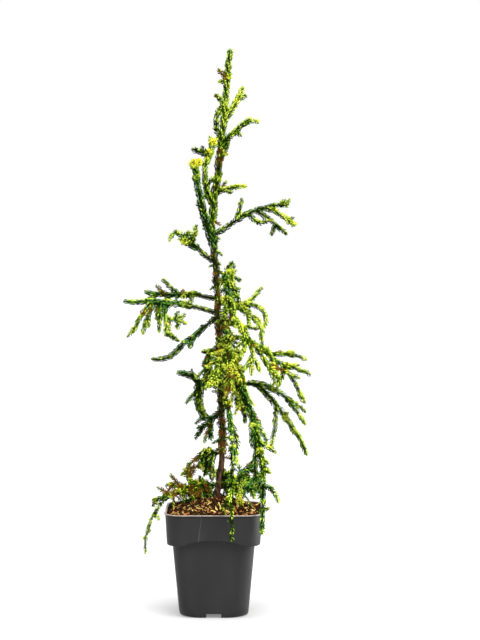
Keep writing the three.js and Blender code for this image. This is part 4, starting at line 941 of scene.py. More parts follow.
@dataclass(frozen=True)
class PolypropyleneFinish:
    """Recycled black polypropylene, injection moulded: charcoal and satin, with dust and a painted
    highlight on the lip's top, and a painted highlight along a panel's edge.
    """

    name: str = "polypropylene_moulded"
    flow_mm: float = 30.0
    grain_mm: float = 0.9
    dust_and_highlight_mm: float = 4.0
    dust_and_highlight_from: float = 1.6
    dust_and_highlight_to: float = 0.5
    edge_highlight_lean: float = 0.14
    edge_highlight_out: float = 39.7
    edge_highlight_half: float = 0.8
    face: float = -60
    face_foot: float = 118

    def material(self) -> Material:
        """Faint flow marks in the colour, a fine grain in the relief, and on the lip's top a pale band that
        is dust and a painted highlight.

        The left edge of the panel on the collar's front has a painted highlight: a pale line where the edge
        would catch the light.

        Returns:
            The material.
        """
        material, tree, shader = new_material(self.name)
        add = partial(add_node, tree)
        flow = pattern(tree, self.flow_mm, 4, (1, 1, 0.35))
        body = ramp(tree, flow, ((0.3, "#121213"), (0.55, "#161617"), (0.75, "#1b1b1b")))
        x, y, z = add("ShaderNodeSeparateXYZ", (add("ShaderNodeTexCoord").outputs["Object"],)).outputs
        # Dust and painted highlight: the top of the lip is turned pale, in a mottled band.
        lip = add(MAP_RANGE, (z, (POT_HEIGHT - self.dust_and_highlight_from) * MM, (POT_HEIGHT - self.dust_and_highlight_to) * MM))
        dust_and_highlight_mask = add(MATH, (lip, pattern(tree, self.dust_and_highlight_mm, 3)), operation="MULTIPLY")
        with_dust_and_highlight = add(MIX, {0: dust_and_highlight_mask, 6: body, 7: linear("#b3a59c")}, data_type="RGBA").outputs[2]
        # Painted highlight: a thin pale line along the panel's left edge, on the collar's front face only.
        edge = add(MATH, (z, -self.edge_highlight_lean, self.edge_highlight_out * MM), operation="MULTIPLY_ADD")
        beside = add(MATH, (add(MATH, (x, edge), operation="ADD"),), operation="ABSOLUTE")
        line = add(MAP_RANGE, (beside, self.edge_highlight_half * MM, 0.3 * MM))
        front = add(MATH, (y, self.face * MM), operation="LESS_THAN")
        above = add(MATH, (z, self.face_foot * MM), operation="GREATER_THAN")
        on_face = add(MATH, (front, above), operation="MULTIPLY")
        painted_edge_highlight = add(MATH, (line, on_face), operation="MULTIPLY")
        with_edge_highlight = add(MIX, {0: painted_edge_highlight, 6: with_dust_and_highlight, 7: linear("#303030")}, data_type="RGBA").outputs[2]
        grain = pattern(tree, self.grain_mm, 2)
        wire(shader, {
            "Base Color": with_edge_highlight,
            "Roughness": add(MAP_RANGE, {"Value": flow, "To Min": 0.4, "To Max": 0.56}),
            "Specular IOR Level": 0.3,
            "Normal": add("ShaderNodeBump", {"Height": grain, "Strength": 0.08, "Distance": 0.2 * MM}),
        })
        return material


# The tones differ by the needles' age and growth. Their darker and lighter ones are also painted shade and
# painted light, as needles facing the key light are dealt lighter tones.
NEEDLES = {
    Tone.BRONZE: NeedleFinish("needles_old_bronze", "#6e4a18", "foliage_gold"),
    Tone.DARK: NeedleFinish("needles_shaded_green", "#0c1800", "foliage_dark"),
    Tone.GREEN: NeedleFinish("needles_mature_green", "#2a4a06", "foliage_green"),
    Tone.FRESH: NeedleFinish("needles_fresh_green", "#5b7d11", "foliage_green"),
    Tone.LIME: NeedleFinish("needles_young_lime", "#aec242", "foliage_lime"),
    Tone.GOLD: NeedleFinish("needles_new_gold", "#dad63e", "foliage_gold"),
    Tone.JADE: NeedleFinish("needles_bluish_green", "#46752e", "foliage_green"),
}
# Young cedar bark: thin red-brown fibrous strips up the trunk, darker in the furrows.
BARK = GrainFinish(
    "bark_fibrous", ((0.3, "#150d07"), (0.5, "#33241a"), (0.62, "#53402d"), (0.78, "#7c6549")), 1.6,
    (1, 1, 0.12), detail=4, roughness=0.9, shine=0.05, relief=0.6, relief_mm=0.4)
# Green wood of young shoots: dark, with faint streaks along it.
GREEN_WOOD = GrainFinish(
    "stem_green_wood", ((0.3, "#0e1a00"), (0.55, "#1c3002"), (0.8, "#3c4e0a")), 3, (1, 1, 0.4))
# Moist peat crumb: near black hollows and brown tops.
PEAT = GrainFinish(
    "peat_crumb", ((0.3, "#070301"), (0.5, "#1a0d05"), (0.64, "#372410"), (0.78, "#6a5230")), 3.2)


@dataclass
class Crown:
    """All shoots of the plant: stems, laterals, side twigs, tufts and needles."""

    needle_out: float = 3.0
    needle_along: float = 4.6
    needle_half: float = 0.98
    spacing: float = 0.45
    sway: float = 9.0
    step: float = 2.4
    stem_radius: float = 1.55
    stem_growth: float = 4.5
    stem_sides: int = 5
    # Painted light: the way towards the key light. Needles facing it are dealt lighter tones, and those
    # facing away darker ones.
    sunward: tuple = (0.35, -0.25, 0.95)
    varied: float = 0.4
    mixed: float = 0.5
    clump: float = 6.0
    clumpy: float = 4.5
    knobby: float = 0.7
    pitch: float = 4.3
    banded: float = 0.9
    ribbed: float = 0.22
    lateral_every: float = 16.0
    lateral_lengths: tuple = (12.0, 30.0)
    lateral_lean: tuple = (28.0, 62.0)
    lateral_old: float = 0.7
    twig_every: float = 8.0
    twig_lengths: tuple = (4.0, 11.0)
    twig_lean: tuple = (26.0, 55.0)
    twig_turn: float = 50.0
    twig_girth: float = 0.85
    twig_room: float = 2.2
    tuft_twigs: int = 10
    tuft_width: float = 11.0
    tuft_turn: float = 130.0
    tuft_lean: tuple = (20.0, 78.0)
    tuft_lengths: tuple = (4.5, 9.5)
    crest_shoots: int = 24
    crest_lengths: tuple = (0.4, 0.65)
    skirt_out: tuple = (5.0, 15.0)
    skirt_up: tuple = (3.0, 11.0)
    skirt_fall: float = 26.0
    skirt_old: float = 0.8
    sunlit_height: float = 770.0
    sunlit_over: float = 80.0
    trunk_twigs: int = 64
    trunk_bare: float = 238.0
    trunk_leafy: float = 500.0
    trunk_sleeves: int = 66
    trunk_rise: tuple = (-0.2, 0.8)
    trunk_lengths: tuple = (5.0, 13.0)
    seed: int = 5
    random: Seeded = field(default_factory=partial(Seeded, TRUNK_SEED))
    points: list = field(default_factory=list)
    edges: list = field(default_factory=list)
    values: dict = field(default_factory=dict)

    def needle(self) -> Object:
        """One awl-shaped needle that leans out of a shoot along +Z and curves back in.

        Returns:
            The needle's object, kept out of the scene's pieces.
        """
        out, along, half = self.needle_out, self.needle_along, self.needle_half
        verts = [
            (-0.5, 0, -0.4), (out * 0.95, 0, along * 0.34), (out * 0.55, half, along * 0.4),
            (out * 0.3, 0, along * 0.45), (out * 0.55, -half, along * 0.4), (out * 0.88, 0, along),
        ]
        faces = []
        for i in range(1, 5):
            faces += [(0, 1 + i % 4, i), (i, 1 + i % 4, 5)]
        return bpy.data.objects.new("needle", plain_mesh("needle", verts, faces))

    def add_line(self, points: Sequence[Vector], girth: float, level: float, gain: float = 0,
                 old: float = 0, wood: Sequence[float] = ()) -> None:
        """Adds a line of needles.

        Args:
            points: Its points, from root to tip.
            girth: Its girth: over 1 it has a thicker stem, under 1 smaller needles too.
            level: Level of its root.
            gain: How much higher its tip's level is.
            old: Share of it, from its root, whose needles are old and bronzed.
            wood: Radius of the wood at each point, where it isn't a shoot with a blunt tip.
        """
        count = len(points) - 1
        length = sum((b - a).length for a, b in zip(points, points[1:]))
        shares = [i / count for i in range(count + 1)]
        thick = self.stem_radius * min(girth, 1) + self.stem_growth * max(girth - 1, 0)
        size, close, radius = [], [], list(wood)
        for share in shares:
            rest = (1 - share) * length
            size.append(min(girth, 1) * lerp(1, 0.9, share) * (1 if wood else clamp(0.55 + rest / 8)))
            close.append(0.0 if wood else -math.radians(24) * clamp(1 - rest / 5))
            if not wood:
                radius.append(thick * lerp(1, 0.62, share) * clamp(0.4 + rest / 10))
        reach = self.stem_radius + 0.5 * self.needle_out
        even = self.spacing * reach / (sum(radius) / len(radius) + 0.5 * self.needle_out)
        levels = [BRONZE_LEVEL if share < old else level + gain * share for share in shares]
        first = len(self.points)
        self.points += [warped(p) for p in points]
        self.edges += [(i, i + 1) for i in range(first, first + count)]
        for label, values in {
            "size": size, "close": close, "level": levels,
            "radius": [r * MM for r in radius], "spacing": [even * MM] * (count + 1),
        }.items():
            self.values.setdefault(label, []).extend(values)

    def add_curve(self, curve: Bend, girth: float, level: float, gain: float = 0, old: float = 0) -> None:
        """Adds a line of needles along a curve, with add_line's values."""
        self.add_line(curve.points(max(3, math.ceil(curve.length() / self.step))), girth, level, gain, old)

    def add_sleeve(self, trunk: TrunkLine, shares: Sequence[float], girth: float, level: float,
                   gain: float = 0) -> None:
        """Adds needles round a length of the trunk, with add_line's values."""
        radii = [trunk.radius(share) for share in shares]
        self.add_line([trunk.point(share) for share in shares], girth, level, gain, wood=radii)

    def twig(self, root: Vector, way: Vector, length: float, droop: float) -> Bend:
        """A short twig that starts along a direction and droops."""
        return Bend(root, root + way * (length * 0.5), root + way * length - UP * (droop * length))

    def side_way(self, curve: Bend, share: float, turn: float, lean: float) -> Vector:
        """Direction off a curve.

        Args:
            curve: The curve.
            share: Share of it.
            turn: Turn round the curve, in degrees.
            lean: Angle to the curve, in degrees.

        Returns:
            The direction.
        """
        axis = curve.tangent(share)
        side = Matrix.Rotation(math.radians(turn), 3, axis) @ axis.orthogonal().normalized()
        return axis * math.cos(math.radians(lean)) + side * math.sin(math.radians(lean))

    def has_room(self, curve: Bend) -> bool:
        """Whether a twig stays over the medium, the rim and the floor, and inside the frame's reach.

        Args:
            curve: The twig.

        Returns:
            True where it has room.
        """
        room = self.twig_room
        inside = all(low <= c * MM <= high for low, c, high in zip(CAD_BOX[0], curve.tip, CAD_BOX[1]))
        return inside and all(p.z > lowest_at(p, room) + room for p in (curve.point(0.5), curve.tip))

    def add_twigs(self, curve: Bend, girth: float, bushy: float, level: float, aged: float) -> None:
        """Sets side twigs along a curve.

        Args:
            curve: The shoot's line.
            girth: The shoot's girth.
            bushy: How much closer together they stand.
            level: Level of the shoot.
            aged: Share of them that are old.
        """
        random = self.random
        count = int(curve.length() * bushy / self.twig_every)
        for i in range(count):
            share = 0.05 + 0.93 * (i + random()) / count
            turn = GOLDEN_ANGLE * i + self.twig_turn * random()
            way = self.side_way(curve, share, turn, lerp(*self.twig_lean, random()))
            size = lerp(*self.twig_lengths, random() ** 2) * (1 - 0.5 * share)
            twig = self.twig(curve.point(share), way, size, 0.3 * (random() - 0.3))
            lift = 0.5 * random() + 0.7 * share
            old = 2 if random() < aged else 0
            if self.has_room(twig):
                self.add_curve(twig, self.twig_girth * girth**0.5, level + lift, 0.6, old)

    def add_laterals(self, host: Laid, bushy: float, level: float, aged: float) -> None:
        """Sets drooping lateral shoots on a shoot, each with twigs of its own.

        Args:
            host: The shoot.
            bushy: How much closer together they stand.
            level: Level of the shoot.
            aged: Share of old twigs; twice as many laterals have an old root.
        """
        random = self.random
        length = host.curve.length()
        for i in range(int(length * max(bushy - 0.4, 0) / self.lateral_every)):
            share = 0.1 + 0.8 * random()
            turn = GOLDEN_ANGLE * i + 360 * random()
            way = self.side_way(host.curve, share, turn, lerp(*self.lateral_lean, random()))
            size = min(lerp(*self.lateral_lengths, random()), 0.7 * length)
            curve = self.twig(host.curve.point(share), way, size, 0.45 * random())
            old = self.lateral_old if random() < 2 * aged else 0
            if self.has_room(curve):
                self.add_curve(curve, 0.92, level + 0.3 * random(), 1.0, old)
                self.add_twigs(curve, 0.9, 0.8, level + 0.2, aged)

    def add_skirt(self, host: Laid, count: int, level: float, aged: float) -> None:
        """Hangs old drooping twigs from a shoot, down to just over the medium.

        Args:
            host: The shoot.
            count: How many.
            level: Level of the shoot.
            aged: Share of them that are old.
        """
        random = self.random
        for i in range(count):
            root = host.curve.point(lerp(0.08, 0.95, random()))
            turn = 2.4 * i + 1.4 * random()
            out = Vector((math.cos(turn), 0.6 * math.sin(turn), 0)) * lerp(*self.skirt_out, random())
            foot = root + out * 2
            fall = root.z - lowest_at(foot, self.twig_room) - 2.4
            old = self.skirt_old if random() < aged else 0
            curve = Bend(root, root + out + UP * lerp(*self.skirt_up, random()), foot - UP * fall)
            over = max(abs(foot.x), abs(foot.y)) < LIP_HALF - 6
            if over and 4 < fall < self.skirt_fall and self.has_room(curve):
                self.add_curve(curve, 0.62, level - 0.1, 0.9, old)
                self.add_twigs(curve, 0.5, 0.5, level, aged)

    def add_tuft(self, host: Laid, at: float, bronze: bool, level: float) -> None:
        """Sets a cluster of stubby twigs on a shoot.

        Args:
            host: The shoot.
            at: Share of the shoot where it sits.
            bronze: Whether it is an old, bronzed one.
            level: Level of the shoot.
        """
        random = self.random
        spread = self.tuft_width / host.curve.length()
        for i in range(self.tuft_twigs):
            share = clamp(at + (random() - 0.5) * spread, 0.02, 0.98)
            way = self.side_way(host.curve, share, self.tuft_turn * i, lerp(*self.tuft_lean, random()))
            curve = self.twig(host.curve.point(share), way, lerp(*self.tuft_lengths, random()), -0.1)
            tone = BRONZE_LEVEL if bronze and i % 3 else level + 1.2 + 0.8 * random()
            if self.has_room(curve):
                self.add_curve(curve, 0.95, tone)

    def add_crest(self, host: Laid, at: float, aside: Sequence, size: float, level: float) -> None:
        """Sets a crest: a round head of many short shoots grown together.

        Args:
            host: The shoot that carries it.
            at: Share of the shoot where it sits.
            aside: How far its middle stands from the shoot.
            size: Its radius.
            level: Its level.
        """
        middle = host.curve.point(at) + Vector(aside)
        for i in range(self.crest_shoots):
            up = 1 - 2 * (i + 0.5) / self.crest_shoots
            flat = math.sqrt(1 - up * up)
            way = Vector((math.cos(2.4 * i) * flat, math.sin(2.4 * i) * flat, up))
            length = size * lerp(*self.crest_lengths, self.random())
            curve = self.twig(middle + way * (0.25 * size), way, length, -0.1)
            self.add_curve(curve, self.twig_girth, level + 1.8 * self.random(), 1.2)

    def grow_mass(self, mass: Mass, laid: Sequence[Laid], number: int) -> None:
        """Grows the finer shoots of a mass.

        Args:
            mass: The mass's plan.
            laid: Its shoots.
            number: Its place in the plan.
        """
        self.random, cool = Seeded(TWIG_SEED + NEXT_SEED * number), Seeded(COOL_SEED + NEXT_SEED * number)
        base = TONE_LEVELS[mass.tone] + mass.shift
        marks = {index: rest for index, *rest in mass.marks}
        for index, one in enumerate(laid):
            change, girth, longer = marks.get(index, (0, 1, 0))
            curve = one.curve
            curve.tip = curve.tip + curve.tangent(1) * longer
            high = clamp((curve.tip.z - self.sunlit_height) / self.sunlit_over)
            level = base + 0.2 * min(one.order, 2) + self.varied * (2 * self.random() - 1)
            level = level + change + 0.5 * high
            if cool() < mass.cool:
                level += COOL_LEVEL
            self.add_curve(curve, one.girth * mass.thick * girth, level, 0.8)
            self.add_skirt(one, mass.skirt, level, mass.aged)
            bushy, aged = mass.bushy, mass.aged + 0.5 * high
            if curve.tip.z <= POT_HEIGHT:
                bushy, aged = min(mass.bushy, 0.6), 0.05
            self.add_laterals(one, bushy, level, aged)
            self.add_twigs(curve, one.girth, bushy, level, aged)
        for index, (on, at) in enumerate(mass.tufts):
            self.add_tuft(laid[on], at, index in mass.bronze, base)
        for on, *crest in mass.crests:
            self.add_crest(laid[on], *crest)

    def grow(self, layouts: Sequence, boughs: dict[str, Bend], trunk: TrunkLine) -> None:
        """Grows the finer plant on the laid shoots.

        Args:
            layouts: Shoots of each mass.
            boughs: Boughs by mass.
            trunk: The trunk's line.
        """
        for number, (mass, laid) in enumerate(zip(MASSES, layouts)):
            if mass.name in boughs:
                wood = [bough_wood(i / 16) for i in range(17)]
                level = TONE_LEVELS[mass.tone] + mass.shift - 0.3
                self.add_line(boughs[mass.name].points(16), 1, level, 0.3, wood=wood)
            self.grow_mass(mass, laid, number)
        self.dress_trunk(trunk)
        start = trunk.share_at(self.trunk_leafy)
        self.add_sleeve(trunk, [lerp(start, 1, i / 50) for i in range(51)], 1, -0.4, 0.5)

    def dress_trunk(self, trunk: TrunkLine) -> None:
        """Sets short old twigs on the trunk between its boughs, and needles round it.

        Args:
            trunk: The trunk's line.
        """
        random = Seeded(TRUNK_SEED)
        for i in range(self.trunk_twigs):
            share = lerp(trunk.share_at(self.trunk_bare), 1, (i + random()) / self.trunk_twigs)
            way = (level_way(GOLDEN_ANGLE * i) + UP * lerp(*self.trunk_rise, random())).normalized()
            root = trunk.point(share) + way * trunk.radius(share)
            twig = self.twig(root, way, lerp(*self.trunk_lengths, random()), 0.5)
            level = BRONZE_LEVEL if random() < 0.45 else 1.6 * random() - 0.4
            self.add_curve(twig, self.twig_girth, level)
        low, high = trunk.share_at(self.trunk_bare + 4), trunk.share_at(self.trunk_leafy)
        for i in range(self.trunk_sleeves):
            start, end = (lerp(low, high, (i + step) / self.trunk_sleeves) for step in (0, 1))
            level = BRONZE_LEVEL if random() < 0.3 else 1.8 * random() - 0.6
            self.add_sleeve(trunk, [lerp(start, end, k / 2) for k in range(3)], self.twig_girth, level)

    def build(self) -> list[Object]:
        """Makes the pieces: needles of each tone, and the stems that they sit on.

        Returns:
            The pieces.
        """
        lines = plain_mesh("shoot_lines", self.points, (), self.edges)
        for label, values in self.values.items():
            lines.attributes.new(label, "FLOAT", "POINT").data.foreach_set("value", values)
        needle, winding = self.needle(), needle_tree()
        pieces = []
        for tone, (lowest, highest) in TONE_LIMITS.items():
            piece = winding.apply(f"needles_{tone.name.lower()}", lines.copy(), {
                "Needle": needle, "Turn": math.radians(GOLDEN_ANGLE), "Sway": math.radians(self.sway),
                "Sunward": self.sunward, "Mixed": self.mixed, "Clumps": 1 / (self.clump * MM),
                "Clumpy": self.clumpy, "Knobby": self.knobby, "Pitch": self.pitch * MM,
                "Banded": self.banded, "Ribbed": self.ribbed, "Lowest": float(lowest),
                "Highest": float(highest), "Seed": self.seed, "Material": NEEDLES[tone].material(),
            })
            pieces.append(piece)
        stems = stem_tree().apply("shoot_stems", lines, {
            "Sides": self.stem_sides, "Material": GREEN_WOOD.material(),
        })
        return [*pieces, stems]


@dataclass
class Wood:
    """The trunk and boughs, with the relief of their bark."""

    trunk_sides: int = 28
    bough_sides: int = 10
    step: float = 1.6
    relief: float = 0.55
    ridge: float = 14

    def sweep(self, curve: TrunkLine | Bend, radius: Callable[[float], float], length: float,
              sides: int) -> tuple[list, list]:
        """Sweeps a round section along a curve, with ridges of bark.

        Args:
            curve: The curve.
            radius: Radius at each share.
            length: Its length.
            sides: Points round the section.

        Returns:
            Points and faces of a closed mesh.
        """
        rows = max(4, round(length / self.step))
        verts = []
        for share in (row / rows for row in range(rows + 1)):
            middle, way = warped(curve.point(share)), curve.tangent(share)
            if share == 0 and curve.point(0).z < TRUNK_FOOT + 1:
                way = UP
            across = Vector((0, 1, 0)).cross(way).normalized()
            front = way.cross(across)
            for column in range(sides):
                angle = 2 * math.pi * column / sides
                thick = radius(share)
                spot = Vector((math.cos(angle) * 2.2, math.sin(angle) * 2.2, share * length / self.ridge))
                ridge = noise.noise(spot * 1.3) + 0.6 * noise.noise(spot * 3.1)
                grown = thick + self.relief * ridge * min(1, thick / 3)
                verts.append(middle + (across * math.cos(angle) + front * math.sin(angle)) * grown)
        return verts, tube_faces(rows + 1, sides)

    def build(self, trunk: TrunkLine, boughs: dict[str, Bend]) -> list[Object]:
        """Makes the trunk and the boughs.

        Args:
            trunk: The trunk's line.
            boughs: Boughs by mass.

        Returns:
            The pieces.
        """
        all_verts, all_faces = [], []
        for limb in boughs.values():
            verts, faces = self.sweep(limb, bough_wood, limb.length(), self.bough_sides)
            all_faces += [tuple(i + len(all_verts) for i in face) for face in faces]
            all_verts += verts
        stem = self.sweep(trunk, trunk.radius, TRUNK_TOP - TRUNK_FOOT, self.trunk_sides)
        bark, pieces = BARK.material(), []
        for name, (verts, faces), nodes in (
            ("bark_trunk", stem, ["trunk"]),
            ("bark_boughs", (all_verts, all_faces), [f"bough_{name}" for name in boughs]),
        ):
            piece = link(name, plain_mesh(name, verts, faces))
            piece.data.materials.append(bark)
            piece.data.shade_smooth()
            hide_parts(*nodes)
            pieces.append(piece)
        return pieces


@dataclass(frozen=True)
class Ring:
    """One rounded square of the pot: half width, height, corner radius, and share of the arch."""

    half: float
    z: float
    corner: float
    arch: float = 0.0


@dataclass
class NurseryPot:
    """Square pot with a collar whose foot arches up in the middle of each side."""

    height: float = 160
    rim_half: float = 73.6
    rim_corner: float = 26
    lip_half: float = 75.2
    lip_height: float = 2
    collar_height: float = 48
    collar_foot_half: float = 71
    collar_foot_corner: float = 23
    collar_ease: float = 1.6
    collar_ease_height: float = 3
    body_top_half: float = 62.8
    body_top_corner: float = 22
    body_foot_half: float = 52.5
    body_foot_corner: float = 20
    body_heights: tuple = (7, 10, 13, 17, 40, 80)
    foot_fillet: float = 2.6
    foot_rounding: float = 15
    foot_rounding_height: float = 16
    wall: float = 1.6
    arch_span: float = 96
    arch_rise: float = 8.2
    notch_width: float = 23
    notch_height: float = 6.2
    notch_depth: float = 30
    notch_rounding: float = 0.8
    hole_radius: float = 4.5
    panel_rows: tuple = ((121, 46.6), (157, 36))
    panel_depth: float = 0.7
    panel_rounding: float = 0.45
    corner_steps: int = 12
    side_steps: int = 20

    @property
    def step_height(self) -> float:
        """Height where the collar ends and the body goes on below."""
        return self.height - self.collar_height

    def arch(self, beside: float) -> float:
        """Rise of the collar's foot at a distance from the middle of a side.

        Args:
            beside: The distance.

        Returns:
            The rise.
        """
        half, rise = self.arch_span / 2, self.arch_rise
        radius = (half * half + rise**2) / (2 * rise)
        return 0.0 if beside >= half else math.sqrt(radius * radius - beside * beside) - radius + rise

    def ring_points(self, ring: Ring) -> list[Vector]:
        """Points of a ring.

        Args:
            ring: The ring.

        Returns:
            The points, counterclockwise from the front's left end.
        """
        straight, corner = ring.half - ring.corner, ring.corner
        even = min(36.0, straight * 0.97)
        columns = [lerp(-even, even, i / self.side_steps) for i in range(self.side_steps + 1)]
        front = [Vector((x, -ring.half, 0)) for x in (-straight, *columns, straight)]
        for i in range(1, self.corner_steps):
            angle = math.radians(-90 + 90 * i / self.corner_steps)
            x, y = corner * math.cos(angle), corner * math.sin(angle)
            front.append(Vector((straight + x, -straight + y, 0)))
        points = []
        for quarter in range(4):
            turn = Matrix.Rotation(quarter * math.pi / 2, 3, "Z")
            points += [turn @ p for p in front]
        for p in points:
            p.z = ring.z + ring.arch * self.arch(min(abs(p.x), abs(p.y)))
        return points

    def block(self, name: str, rings: Sequence[Ring]) -> Object:
        """A closed block through rings listed from the bottom up."""
        verts = [p for ring in rings for p in self.ring_points(ring)]
        return link(name, plain_mesh(name, verts, tube_faces(len(rings), len(verts) // len(rings))))

    def body_ring(self, inset: float, z: float, drawn: float = 0, arch: float = 0) -> Ring:
        """A ring of the body.

        Args:
            inset: How far the ring is drawn in for the inside.
            z: Its height.
            drawn: How far it is drawn in for the foot's fillet.
            arch: Its share of the arch.

        Returns:
            The ring.
        """
        low = clamp(1 - (z - inset) / self.foot_rounding_height)
        corner = lerp(self.body_foot_corner, self.body_top_corner, z / self.height)
        corner += self.foot_rounding * low * low
        slope = (self.body_top_half - self.body_foot_half) / self.step_height
        return Ring(self.body_foot_half + slope * z - drawn - inset, z, corner - inset, arch)

    def wall_rings(self, inset: float) -> tuple[list[Ring], list[Ring]]:
        """Rings of the body and the collar, from the foot up.

        Args:
            inset: How far they are drawn in.

        Returns:
            The body's rings and the collar's.
        """
        radius, body, collar = self.foot_fillet - inset, [], []
        for angle in (math.radians(15 * i) for i in range(7)):
            drawn = radius * (1 - math.sin(angle))
            body.append(self.body_ring(inset, inset + radius * (1 - math.cos(angle)), drawn))
        body += [self.body_ring(inset, z) for z in self.body_heights]
        step = self.step_height + inset
        for below, arch in ((12, 0.5), (0.8, 1), (0, 1)):
            body.append(self.body_ring(inset, step - below, 0, arch))
        half, corner = self.collar_foot_half - inset, self.collar_foot_corner - inset
        for angle in (math.radians(22.5 * i) for i in range(5)):
            drawn = self.collar_ease * (1 - math.sin(angle))
            rise = self.collar_ease_height * (1 - math.cos(angle))
            collar.append(Ring(half - drawn, step + rise, corner - drawn, 1))
        for z, arch in ((124, 0.6), (134, 0.2), (146, 0), (self.height - self.lip_height - 0.4, 0)):
            share = (z - self.step_height) / self.collar_height
            collar.append(Ring(lerp(self.collar_foot_half, self.rim_half, share) - inset, z,
                               lerp(self.collar_foot_corner, self.rim_corner, share) - inset, arch))
        return body, collar

    def lip_rings(self) -> list[Ring]:
        """Rings of the rolled lip, each drawn in at its height.

        Returns:
            The rings, from the bottom up.
        """
        low, top = self.height - self.lip_height, self.height
        rows = ((0.5, low), (0, low + 0.5), (0, top - 0.7), (0.2, top - 0.25), (0.7, top))
        return [Ring(self.lip_half - drawn, z, self.rim_corner + 1 - drawn) for drawn, z in rows]

    def mouth_rings(self) -> list[Ring]:
        """Rings of the inside's top, each widened at its height, with a rounded inner edge.

        Returns:
            The rings, from the bottom up.
        """
        half, corner = self.rim_half - self.wall, self.rim_corner - self.wall
        rows = ((0, -1), (0.15, -0.4), (0.7, 0.05), (0.7, 6))
        return [Ring(half + wide, self.height + z, corner + wide) for wide, z in rows]

    def notch(self, margin: float, quarter: int) -> Object:
        """The cut in the foot of a side.

        Args:
            margin: Margin round it.
            quarter: Which side.

        Returns:
            A box with rounded edges, to be cut out.
        """
        past = 6
        depth, height = self.notch_depth + margin + past, self.notch_height + margin + past
        size = (self.notch_width + 2 * margin, depth, height)
        centre = (0, depth / 2 - self.body_foot_half - past, height / 2 - past)
        shape = bmesh.new()
        bmesh.ops.create_cube(shape, size=1)
        for vert in shape.verts:
            vert.co = Vector([c * s + m for c, s, m in zip(vert.co, size, centre)])
        return self.tool(shape, quarter, self.notch_rounding)

    def tool(self, shape: bmesh.types.BMesh, quarter: int, rounding: float = 0) -> Object:
        """A shape to be cut out of the pot.

        Args:
            shape: The shape, at the pot's front.
            quarter: Side that it is turned to.
            rounding: Radius of its edges.

        Returns:
            The tool.
        """
        if rounding:
            bmesh.ops.bevel(shape, geom=shape.edges[:], offset=rounding, segments=2, affect="EDGES",
                            profile=0.5)
        return link("tool", shape_mesh("tool", shape, Matrix.Rotation(quarter * math.pi / 2, 4, "Z")))

    def hole(self, quarter: int) -> Object:
        """A drain hole in the roof of a cut.

        Args:
            quarter: Which side.

        Returns:
            A short rod, to be cut out.
        """
        shape = bmesh.new()
        move = Matrix.Translation((0, self.notch_depth / 2 - self.body_foot_half, self.notch_height))
        bmesh.ops.create_cone(shape, cap_ends=True, segments=20, radius1=self.hole_radius,
                              radius2=self.hole_radius, depth=12, matrix=move)
        return self.tool(shape, quarter)

    def panel(self, quarter: int) -> Object:
        """The shallow recess of the collar's panel, wider at its foot.

        Args:
            quarter: Which side.

        Returns:
            A block with rounded edges, to be cut out.
        """
        slope = (self.rim_half - self.collar_foot_half) / self.collar_height
        shape = bmesh.new()
        verts = []
        for deep in (0, 5):
            for z, width in self.panel_rows:
                face = self.collar_foot_half + slope * (z - self.step_height) - self.panel_depth + deep
                verts += [shape.verts.new((side * width / 2, -face, z)) for side in (-1, 1)]
        for face in ((0, 1, 3, 2), (4, 6, 7, 5), (0, 2, 6, 4), (1, 5, 7, 3), (2, 3, 7, 6), (0, 4, 5, 1)):
            shape.faces.new([verts[i] for i in face])
        bmesh.ops.recalc_face_normals(shape, faces=shape.faces)
        return self.tool(shape, quarter, self.panel_rounding)

    def cut(self, body: Object, tools: Sequence[Object]) -> None:
        """Cuts tools out of a body, and removes them.

        Args:
            body: The body.
            tools: What is cut out.
        """
        for tool in tools:
            modifier = body.modifiers.new("cut", "BOOLEAN")
            modifier.object = tool
            modifier.operation = "DIFFERENCE"
            modifier.solver = "MANIFOLD"
        evaluate(body)
        for tool in tools:
            bpy.data.objects.remove(tool)

    def build(self) -> Object:
        """Makes the pot.

        Returns:
            The pot.
        """
        body, collar = self.wall_rings(0)
        pot = self.block("pot_shell", body + collar + self.lip_rings())
        body, collar = self.wall_rings(self.wall)
        inside = self.block("inside", body + collar + self.mouth_rings())
        self.cut(inside, [self.notch(self.wall, quarter) for quarter in range(4)])
        self.cut(pot, [self.notch(0, quarter) for quarter in range(4)])
        self.cut(pot, [inside])
        self.cut(pot, [self.hole(quarter) for quarter in range(4)])
        self.cut(pot, [self.panel(0), self.panel(2)])
        pot.data.materials.clear()
        pot.data.materials.append(PolypropyleneFinish().material())
        pot.data.shade_smooth()
        pot.data.set_sharp_from_angle(angle=math.radians(32))
        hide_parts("pot")
        return pot


@dataclass(frozen=True)
class Litter:
    """Loose bits of one kind: size, count to a square metre, tilt, and dark, middle and light colour."""

    name: str
    size: tuple[float, float, float]
    density: float
    tilt: float
    colours: tuple[str, str, str]


# Chips of conifer bark, dark and dry; fresh amber ones; straw; pale crumbs of wood; tufts of moss.
LITTER = (
    Litter("bark_chips", (8.0, 4.4, 2.4), 24000, 60, ("#0a0502", "#26150a", "#5a3c22")),
    Litter("amber_chips", (6.4, 3.8, 1.7), 6000, 52, ("#54280f", "#925628", "#d09a66")),
    Litter("straw_slivers", (13.0, 1.8, 0.9), 7000, 40, ("#7a6630", "#c2a85c", "#f2e2ac")),
    Litter("pale_crumbs", (3.4, 2.4, 1.8), 15000, 60, ("#4e3a1c", "#8f7544", "#d2b888")),
    Litter("moss_bits", (4.5, 3.2, 2.2), 1600, 30, ("#2a360e", "#51621c", "#87983c")),
)


